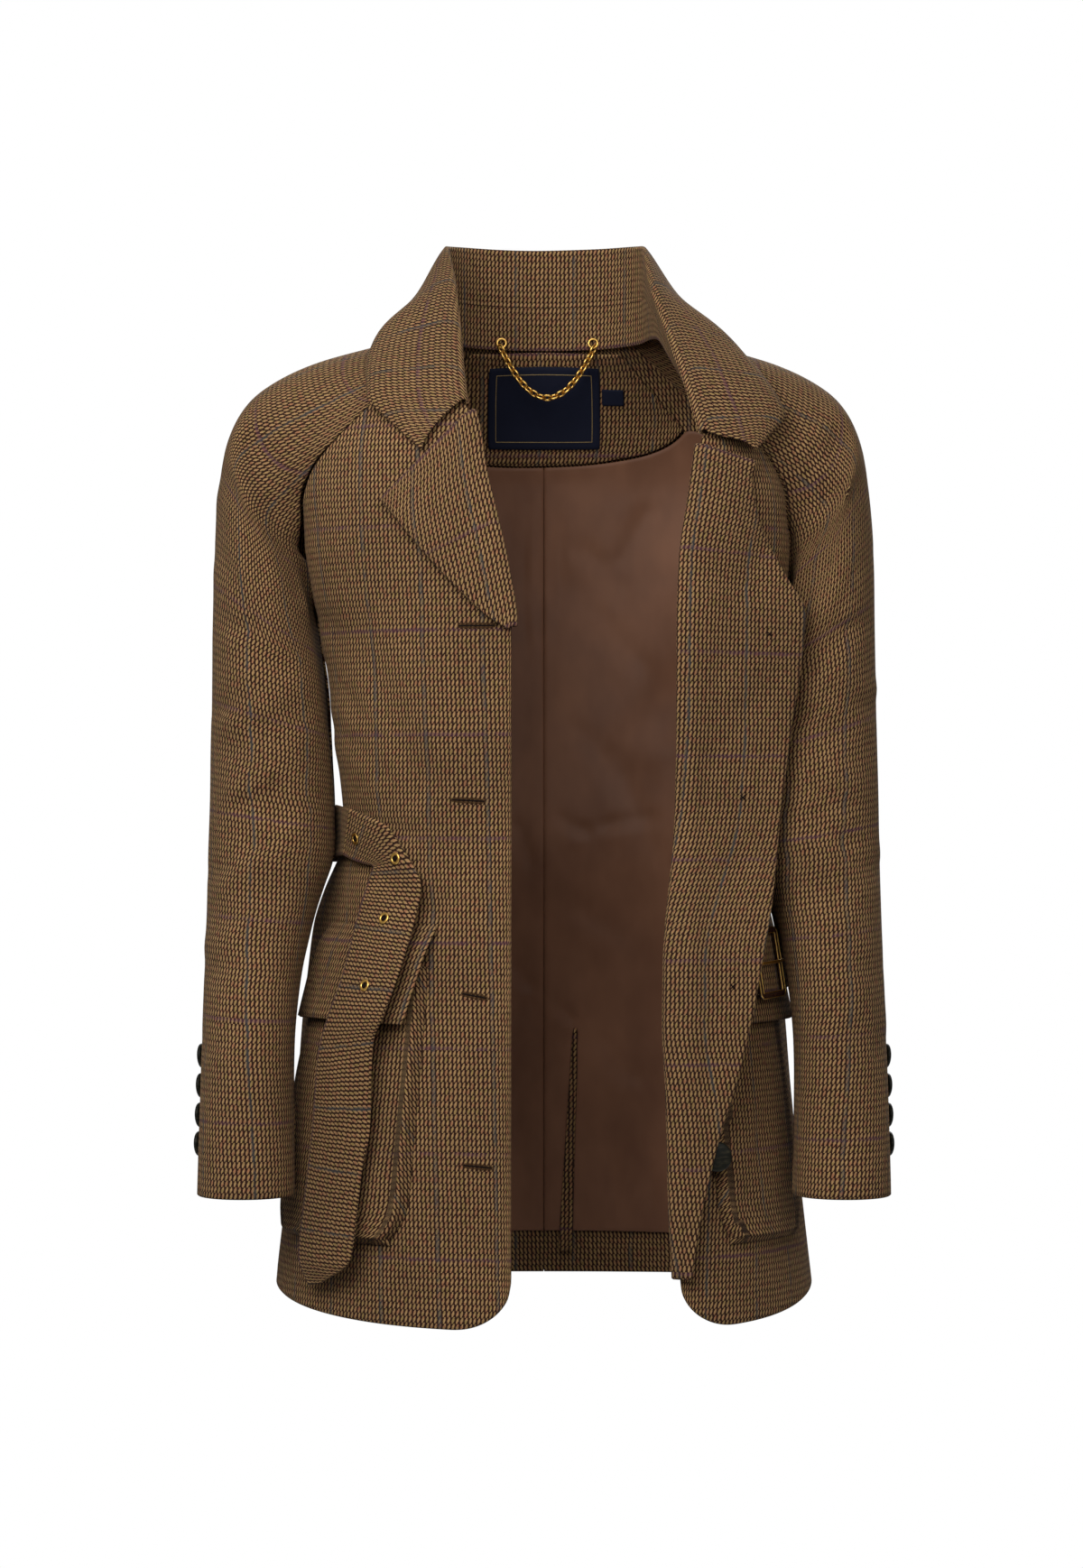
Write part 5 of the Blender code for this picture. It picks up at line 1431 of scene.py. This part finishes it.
def joined(name, shapes, node=None):
    """One piece from several shapes, each with its finish, in place of a solid if one is named."""
    points, faces, finish = [], [], []
    for (shape_points, shape_faces), material in shapes:
        base = sum(map(len, points))
        points.append(shape_points)
        faces += [tuple(base + i for i in face) for face in shape_faces]
        finish += [material] * len(shape_faces)
    materials = list(dict.fromkeys(finish))
    piece = mesh_object(name, np.concatenate(points), faces, materials[0])
    for material in materials[1:]:
        piece.data.materials.append(material)
    piece.data.polygons.foreach_set("material_index", [materials.index(m) for m in finish])
    in_frame(piece, node)
    return piece


print("shapes: turned, tube, joined")

# %% [markdown]
# The buttons are dished horn with a rounded rim, four holes and a cross of thread. The holes are not
# cut: a dark plug in each is painted shade. The front ones are sewn to the far side of the turned left
# front, so only one edge peeks out. Four small ones stand on the back of each cuff and are seen edge-on.

# %% Buttons
FRONT_BUTTON, CUFF_BUTTON = (23, 3.6), (19.5, 3.4)
FRONT_BUTTON_PLACES = ((5.5, 0.71), (7.84, 0.59), (10.36, 0.66), (13.27, 1.14))
CUFF_BUTTON_Z, CUFF_BUTTON_U = (-565, -587.5, -610, -632), 0.09
BUTTON_DISH = 0.69
BUTTON_PROFILE = (
    (0.05, 0.02), (0.80, 0.0), (0.91, 0.08), (0.98, 0.28), (1.0, 0.50), (0.985, 0.78), (0.95, 0.93),
    (0.90, 1.0), (0.84, 0.97), (0.78, 0.86), (0.70, 0.76), (0.55, 0.71), (0.3, BUTTON_DISH),
    (0.02, BUTTON_DISH))


def sewn_button(node, seat, axis, size):
    """A four-hole button with its thread; each hole is a dark plug of painted shade."""
    radius, thick = size[0] / 2, size[1]
    axis = axis / np.linalg.norm(axis)
    first, second = across_of(axis)
    shapes = [(turned(seat, axis, [(r * radius, h * thick) for r, h in BUTTON_PROFILE]), HORN)]
    face = seat + axis * thick * BUTTON_DISH
    holes = [face + (first * a + second * b) * radius * 0.19 for a, b in ((1, 1), (-1, 1), (-1, -1), (1, -1))]
    for hole in holes:
        # A dark plug in the hole: painted shade, not an opening.
        rim = [(radius * 0.095, -0.2), (radius * 0.1, 0.05), (radius * 0.06, 0.12), (0.05, 0.12)]
        shapes.append((turned(hole, axis, rim, 12), DARK_THREAD_AND_SHADE))
    for a, b in ((0, 2), (1, 3)):
        way = holes[b] - holes[a]
        high = 0.45 + 0.2 * a
        bow = [holes[a] + way * t + axis * (0.1 + high * math.sin(math.pi * t)) for t in np.linspace(0, 1, 7)]
        shapes.append((tube(bow, 0.42, 6), BROWN_THREAD))
    joined(f"{node}_horn", shapes, node)


for i, (row, t) in enumerate(FRONT_BUTTON_PLACES, 1):
    here = turned_point(LEFT, row, t)
    ahead, above = turned_point(LEFT, row, t - 0.1), turned_point(LEFT, row + 0.2, t)
    _, _, out = frame_of(here, ahead, above, BACKWARD)
    sewn_button(f"front_button_{i}", here + out * (DOUBLE_CLOTH + 0.5), out, FRONT_BUTTON)
for side in (RIGHT, LEFT):
    for i, z in enumerate(CUFF_BUTTON_Z, 1):
        v = float(np.interp(-z, -SLEEVE_ROWS["ridge_z"], SLEEVE_ROWS["v"]))
        here = sleeve_point(side, 1, v, CUFF_BUTTON_U)
        _, _, out = frame_of(here, sleeve_point(side, 1, v + 0.01, CUFF_BUTTON_U),
                             sleeve_point(side, 1, v, CUFF_BUTTON_U + 0.03), outward_of(side))
        sewn_button(f"cuff_button_{SIDE_NAME[side]}_{i}", here + out * 0.6, out, CUFF_BUTTON)
print("buttons:", totals)

# %% [markdown]
# The belt's metal. Each eyelet is a rolled gold ring round a dark disc, painted shade for a hole that
# is not cut. The buckle is a rectangle of dark enamel with a gold wire along its outer and inner edge,
# and a round gold prong.

# %% Eyelets and buckle
EYELET_OUTER, EYELET_HOLE, EYELET_THICK = 9.5, 5.0, 1.2
EYELET_PLACES = ((5.85, 0.5), (7.05, 0.5), (9.0, 0.72), (10.9, 0.5))
BUCKLE_WIDE, BUCKLE_TALL, BUCKLE_THICK, BUCKLE_AT, BUCKLE_CORNER = 42, 55, 3, 1.5, 5.5
# The bar's outline by its distance in from the outer edge and its height off the belt.
BAR_SECTION = ((0, 0.5), (0.0, 1.9), (0.5, 2.5), (1.6, 2.9), (2.5, 3.0), (3.4, 2.9), (4.5, 2.5),
               (5.0, 1.9), (5.0, 0.5))
EDGE_WIRES, WIRE_HEIGHT, WIRE_RADIUS = (0.35, 4.65), 2.35, 0.5
PRONG_THICK, PRONG_GAP = 2.4, 0.3

for i, (row, t) in enumerate(EYELET_PLACES, 1):
    here = tail_point(row, t)
    _, _, out = frame_of(here, tail_point(row + 0.2, t), tail_point(row, t + 0.2), FORWARD)
    middle, half = (EYELET_OUTER + EYELET_HOLE) / 4, (EYELET_OUTER - EYELET_HOLE) / 4
    ring = [(middle + half * math.cos(a), EYELET_THICK * (0.5 + 0.5 * math.sin(a)))
            for a in np.linspace(0, 2 * math.pi, 12, endpoint=False)]
    # A dark disc fills the ring: painted shade where the hole would be.
    hole = [(0.1, -0.3), (EYELET_HOLE / 2 + 0.3, -0.3), (EYELET_HOLE / 2 + 0.3, 0.15), (0.1, 0.1)]
    shapes = [(turned(here + out * 0.5, out, ring, 36, closed=True), GOLD),
              (turned(here + out * 0.5, out, hole, 24), DARK_THREAD_AND_SHADE)]
    joined(f"eyelet_{i}_gold", shapes, f"eyelet_{i}")

here = wrap_point(BUCKLE_AT, 0.5)
along, up, out = frame_of(here, wrap_point(BUCKLE_AT + 0.05, 0.5), wrap_point(BUCKLE_AT, 0.9), FORWARD)
seat = here + out * 0.3


def buckle_line(less, least, height):
    """The buckle's round-cornered outline, set in by less, at a height off the belt."""
    wide, tall = BUCKLE_WIDE - 2 * less, BUCKLE_TALL - 2 * less
    corner = max(BUCKLE_CORNER - less, least)
    line = []
    for k, (x, y) in enumerate(((1, 1), (-1, 1), (-1, -1), (1, -1))):
        for a in np.linspace(k * math.pi / 2, (k + 1) * math.pi / 2, 6):
            line.append(seat + along * (x * (wide / 2 - corner) + corner * math.cos(a))
                        + up * (y * (tall / 2 - corner) + corner * math.sin(a)) + out * height)
    return np.array(line)


bars = [buckle_line(less, 0.8, height) for less, height in BAR_SECTION]
wires = [tube(buckle_line(less, 0.9, WIRE_HEIGHT), WIRE_RADIUS, 8, True) for less in EDGE_WIRES]
joined("buckle_frame_enamel", [(rings_to_faces(bars, True), ENAMEL)] + [(wire, GOLD) for wire in wires],
       "buckle_frame")
prong = [seat + along * x + out * (BUCKLE_THICK + PRONG_GAP + PRONG_THICK / 2)
         for x in np.linspace(1 - BUCKLE_WIDE / 2, BUCKLE_WIDE / 2 - 1, 9)]
joined("buckle_prong_gold", [(tube(prong, PRONG_THICK / 2, 12), GOLD)], "buckle_prong")
print("belt metal:", totals)

# %% [markdown]
# Repeats are grown by two small Geometry Nodes trees. Both resample a line at a pitch, set copies
# of one shape on it, and end as real mesh with its finish. Their numbers are named inputs.

# %% Helpers for trees
def new_tree(name, inputs):
    """An empty tree with geometry in and out and some named inputs, and a short way to add nodes."""
    tree = bpy.data.node_groups.new(name, "GeometryNodeTree")
    tree.interface.new_socket("Geometry", in_out="INPUT", socket_type="NodeSocketGeometry")
    for label, kind in inputs:
        tree.interface.new_socket(label, in_out="INPUT", socket_type=f"NodeSocket{kind}")
    tree.interface.new_socket("Geometry", in_out="OUTPUT", socket_type="NodeSocketGeometry")
    given = tree.nodes.new("NodeGroupInput").outputs

    def add(kind, links, **settings):
        made = tree.nodes.new(kind)
        for key, value in settings.items():
            setattr(made, key, value)
        for key, value in links.items():
            if isinstance(value, bpy.types.NodeSocket):
                tree.links.new(value, made.inputs[key])
            else:
                made.inputs[key].default_value = value
        return made
    return tree, given, add


def end_tree(tree, given, add, instances):
    """Real mesh with the finish, as the tree's last two steps."""
    real = add("GeometryNodeRealizeInstances", {"Geometry": instances})
    done = add("GeometryNodeSetMaterial", {"Geometry": real.outputs[0], "Material": given["Finish"]})
    add("NodeGroupOutput", {0: done.outputs[0]})
    return tree


def spaced_line(given, add):
    """The given line with a point at every pitch."""
    line = add("GeometryNodeMeshToCurve", {"Mesh": given["Geometry"]})
    return add("GeometryNodeResampleCurve", {"Curve": line.outputs[0], "Length": given["Pitch"]},
               mode="LENGTH")


print("tree helpers: new_tree, spaced_line, end_tree")

# %% [markdown]
# A stitch is a small long bead, turned along the line or across it. Its length varies a little
# from one to the next, as hand-guided stitches do.

# %% Tree of stitches
def stitch_tree():
    """Small rounded stitches along a line, or across it when Across is 1."""
    tree, given, add = new_tree(
        "stitches", (("Pitch", "Float"), ("Length", "Float"), ("Thread", "Float"), ("Facing", "Vector"),
                     ("Across", "Float"), ("Finish", "Material")))
    spaced = spaced_line(given, add)
    tangent = add("GeometryNodeInputTangent", {})
    square = add("ShaderNodeVectorMath", {0: tangent.outputs[0], 1: given["Facing"]},
                 operation="CROSS_PRODUCT")
    way = add("ShaderNodeMix", {"Factor": given["Across"]}, data_type="VECTOR")
    tree.links.new(tangent.outputs[0], way.inputs[4])
    tree.links.new(square.outputs[0], way.inputs[5])
    turn = add("FunctionNodeAlignRotationToVector", {"Vector": way.outputs[1]}, axis="X")
    uneven = add("FunctionNodeRandomValue", {2: 0.82, 3: 1.14, "Seed": 7}, data_type="FLOAT")
    long = add("ShaderNodeMath", {0: given["Length"], 1: uneven.outputs[1]}, operation="MULTIPLY")
    size = add("ShaderNodeCombineXYZ", {0: long.outputs[0], 1: given["Thread"], 2: given["Thread"]})
    bead = add("GeometryNodeMeshUVSphere", {"Segments": 6, "Rings": 5, "Radius": 0.5})
    laid = add("GeometryNodeInstanceOnPoints", {"Points": spaced.outputs[0], "Instance": bead.outputs[0],
                                                "Rotation": turn.outputs[0], "Scale": size.outputs[0]})
    return end_tree(tree, given, add, laid.outputs[0])


STITCHES = stitch_tree()
print("tree:", STITCHES.name, "with", len(STITCHES.nodes), "nodes")

# %% [markdown]
# Chain links are oval rings of wire. Each is rolled the other way from the one before it, and
# the roll is kept below a right angle because a hanging chain lies half flat.

# %% Tree of links
def link_tree():
    """Oval links along a line, rolled by turns to either side."""
    tree, given, add = new_tree(
        "links", (("Pitch", "Float"), ("Long", "Float"), ("Wide", "Float"), ("Wire", "Float"),
                  ("Roll", "Float"), ("Finish", "Material")))
    spaced = spaced_line(given, add)
    tangent = add("GeometryNodeInputTangent", {})
    turn = add("FunctionNodeAlignRotationToVector", {"Vector": tangent.outputs[0]}, axis="X")
    index = add("GeometryNodeInputIndex", {})
    odd = add("ShaderNodeMath", {0: index.outputs[0], 1: 2.0}, operation="MODULO")
    side = add("ShaderNodeMath", {0: odd.outputs[0], 1: 2.0, 2: -1.0}, operation="MULTIPLY_ADD")
    roll = add("ShaderNodeMath", {0: side.outputs[0], 1: given["Roll"]}, operation="MULTIPLY")
    spin = add("ShaderNodeCombineXYZ", {0: roll.outputs[0]})
    rolled = add("FunctionNodeRotateRotation", {0: turn.outputs[0], 1: spin.outputs[0]},
                 rotation_space="LOCAL")
    oval = add("GeometryNodeCurvePrimitiveCircle", {"Resolution": 20, "Radius": 0.5})
    shape = add("ShaderNodeCombineXYZ", {0: given["Long"], 1: given["Wide"], 2: 1.0})
    sized = add("GeometryNodeTransform", {"Geometry": oval.outputs[0], "Scale": shape.outputs[0]})
    wire = add("GeometryNodeCurvePrimitiveCircle", {"Resolution": 8, "Radius": given["Wire"]})
    link = add("GeometryNodeCurveToMesh", {"Curve": sized.outputs[0], "Profile Curve": wire.outputs[0]})
    laid = add("GeometryNodeInstanceOnPoints", {"Points": spaced.outputs[0], "Instance": link.outputs[0],
                                                "Rotation": rolled.outputs[0]})
    return end_tree(tree, given, add, laid.outputs[0])


LINKS = link_tree()
print("tree:", LINKS.name, "with", len(LINKS.nodes), "nodes")

# %% [markdown]
# A tree is put on an object made of plain lines, and the mesh it grows is kept without the
# modifier, so the piece is an ordinary mesh from then on.

# %% Growing a piece
def grown(name, lines, tree, slot, node=None, closed=False, **inputs):
    """The mesh a tree grows from lines of millimetre points, kept without its modifier."""
    points, edges = [], []
    for line in lines:
        base = len(points)
        points += [tuple(np.asarray(p) * MM) for p in line]
        edges += [(base + i, base + i + 1) for i in range(len(line) - 1)]
        edges += [(base + len(line) - 1, base)] if closed else []
    mesh = bpy.data.meshes.new(f"{name}_lines")
    mesh.from_pydata(points, edges, [])
    piece = bpy.data.objects.new(name, mesh)
    modifier = piece.modifiers.new(name, "NODES")
    modifier.node_group = tree
    for item in tree.interface.items_tree:
        if item.in_out == "INPUT" and item.name in inputs:
            modifier[item.identifier] = inputs[item.name]
    scene.collection.objects.link(piece)
    made = bpy.data.meshes.new_from_object(piece.evaluated_get(bpy.context.evaluated_depsgraph_get()))
    piece.modifiers.clear()
    piece.data = made
    made.shade_smooth()
    totals["triangles"] += sum(len(p.vertices) - 2 for p in made.polygons)
    totals["pieces"] += 1
    in_frame(piece, node)
    print(f"{name}: {len(made.polygons)} faces")
    return piece


STITCH_WAY = {"forward": (0.0, -1.0, 0.0), "back": (0.0, 1.0, 0.0)}


def stitch_row(name, lines, pitch, length, thread, finish, facing="forward", across=0.0, closed=False):
    """Rows of stitches on the tweed, sized in millimetres."""
    grown(name, lines, STITCHES, "tweed", closed=closed, Pitch=pitch * MM, Length=length * MM,
          Thread=thread * MM, Facing=STITCH_WAY[facing], Across=across, Finish=finish)


print("pieces so far:", totals)

# %% [markdown]
# The hanger chain sags between two rings on the neck seam. Its links are small ovals that overlap,
# and they lie on the label and the facing behind them.

# %% Hanger chain
CHAIN_THICK, CHAIN_SAG, CHAIN_OFF = 3.6, 39, 1.45
RING_PLACES = {RIGHT: (-34.5, 7.0), LEFT: (40.0, 6.5)}
RING_RADIUS, RING_WIRE = 3.6, 0.9
LINK_PITCH, LINK_LONG, LINK_WIDE, LINK_WIRE, LINK_ROLL = 5.4, 8.2, 6.8, 0.95, 0.5


def neck_face(x):
    """Depth of the stand's inside face at the neck seam."""
    line = np.array([collar_stand_point(row, 0.0) for row in np.linspace(4.5, 7.5, 31)])
    return float(np.interp(x, line[:, 0], line[:, 1]))


def chain_point(t):
    """The chain's middle line between the rings."""
    (x0, z0), (x1, z1) = RING_PLACES[RIGHT], RING_PLACES[LEFT]
    drop = RING_RADIUS + RING_WIRE + CHAIN_THICK / 4
    x, z = x0 + (x1 - x0) * t, z0 + (z1 - z0) * t
    depth = min(neck_face(x0), neck_face(x1)) - CHAIN_THICK / 2
    return np.array((x, depth, z - drop - CHAIN_SAG * 4 * t * (1 - t)))


for side, (x, z) in RING_PLACES.items():
    centre = np.array((x, neck_face(x) - RING_WIRE - CHAIN_OFF, z))
    turns = np.linspace(0, 2 * math.pi, 33)[:-1]
    circle = [centre + RING_RADIUS * np.array((math.cos(a), 0, math.sin(a))) for a in turns]
    joined(f"chain_ring_{SIDE_NAME[side]}_gold", [(tube(circle, RING_WIRE, 10, closed=True), GOLD)],
           f"chain_ring_{SIDE_NAME[side]}")
chain_line = [chain_point(t) + np.array((0, -0.8, 0)) for t in np.linspace(0, 1, 60)]
grown("hanger_chain_gold", [chain_line], LINKS, "gold", "hanger_chain",
      Pitch=LINK_PITCH * MM, Long=LINK_LONG * MM, Wide=LINK_WIDE * MM, Wire=LINK_WIRE * MM,
      Roll=LINK_ROLL, Finish=GOLD)
print("chain:", totals)

# %% [markdown]
# Sewing that shows. Four buttonholes cross the right front: an outline of close stitches round a dark
# tube, painted shade for a slit that is not cut. Each follows the creased cloth under it, from the sheet
# point nearest to it.

# %% Buttonholes
def spot(grid, x, z):
    """Row and column of a sheet's point nearest a place in the front view."""
    gap = np.hypot(grid[..., 0] - x, grid[..., 2] - z)
    return np.unravel_index(np.argmin(gap), gap.shape)


def lie_on(grid, x, z, lift, outward):
    """The place in the front view set on a sheet, lifted off it a little."""
    r, c = spot(grid, x, z)
    normal = normals(grid)[r, c] * way_out(grid, outward)
    here = grid[r, c]
    y = here[1] - (normal[0] * (x - here[0]) + normal[2] * (z - here[2])) / normal[1]
    return np.array((x, y, z)) + normal * lift


# Both ends across, the height at the first one, and the slope.
BUTTONHOLES = (
    (-66, -37, -231, 0.0), (-71, -45, -364, -0.05), (-63, -43, -512, -0.18), (-62, -39, -642, -0.08))
outlines, slits = [], []
for x0, x1, z, slope in BUTTONHOLES:
    ring = []
    for a in np.linspace(0, 2 * math.pi, 41)[:-1]:
        x = (x0 + x1) / 2 + ((x1 - x0) / 2 - 1.2) * np.clip(1.25 * math.cos(a), -1, 1) + 0.6 * math.cos(a)
        ring.append(lie_on(fronts[RIGHT], x, z + slope * (x - x0) + 1.5 * math.sin(a), 0.25, FORWARD))
    outlines.append(ring)
    middle = [lie_on(fronts[RIGHT], x, z + slope * (x - x0), 0.2, FORWARD)
              for x in np.linspace(x0 + 0.8, x1 - 0.8, 15)]
    # The slit is a dark tube of painted shade, not a cut.
    slits.append((tube(middle, 0.62, 8), DARK_THREAD_AND_SHADE))
stitch_row("buttonhole_stitches", outlines, 0.75, 2.1, 0.62, BROWN_THREAD, across=1.0, closed=True)
joined("buttonhole_slit_shade", slits)
print("buttonholes:", len(outlines))

# %% [markdown]
# Small crosses of thread mark where the front buttons are sewn through the turned left front. The
# label has a plain thin border.

# %% Button thread and label border
crosses = []
for row, t in FRONT_BUTTON_PLACES[:3]:
    here = turned_point(LEFT, row, t)
    ahead, above = turned_point(LEFT, row, t + 0.1), turned_point(LEFT, row + 0.2, t)
    along, up, out = frame_of(here, ahead, above, FORWARD)
    for a, b in ((1, 1), (1, -1)):
        half = (along * a + up * b) * 1.9
        bow = [here - half + out * 0.2, here + out * 0.9, here + half + out * 0.2]
        crosses.append((tube(bow, 0.45, 6), DARK_THREAD_AND_SHADE))
joined("button_thread", crosses)

sheet_points = label_sheets["label"]
rows, columns = sheet_points.shape[:2]
low, high, left, right = 2, rows - 3, 2, columns - 3
path = [(low, c) for c in range(left, right)] + [(r, right) for r in range(low, high)]
path += [(high, c) for c in range(right, left, -1)] + [(r, left) for r in range(high, low, -1)]
inward = normals(sheet_points) * way_out(sheet_points, FORWARD)
frame_line = [sheet_points[r, c] + inward[r, c] * 0.12 for r, c in path]
joined("label_border", [(tube(frame_line, 0.3, 6, closed=True), GILT_THREAD)])
print("crosses:", len(crosses), "border points:", len(frame_line))

# %% [markdown]
# Rows of stitches hold the collar stand, just under its fold, and close the two cuff vents beside
# their buttons.

# %% Rows of stitches
CUFF_VENT, VENT_SHARE = (-662, -548), 0.16

stand_line = [collar_stand_point(row, 0.9) + np.array((0, -0.4, 0)) for row in np.linspace(4.0, 8.0, 60)]
stitch_row("stand_stitches", [stand_line], 3.4, 2.3, 0.5, DARK_THREAD_AND_SHADE)
vents = []
for side in (RIGHT, LEFT):
    line = sleeves[side, 1]
    column = max(int(VENT_SHARE * line.shape[1]), 2)
    outer = normals(line) * way_out(line, outward_of(side, 1))
    picked = [r for r in range(line.shape[0]) if CUFF_VENT[0] < line[r, column, 2] < CUFF_VENT[1]]
    vents.append([line[r, column] + outer[r, column] * 0.15 for r in picked])
stitch_row("cuff_stitches", vents, 3.2, 2.2, 0.5, BROWN_THREAD, facing="back")
print("sewing:", totals)

# %% Size of the scene
print("pieces", totals["pieces"], "triangles", totals["triangles"])
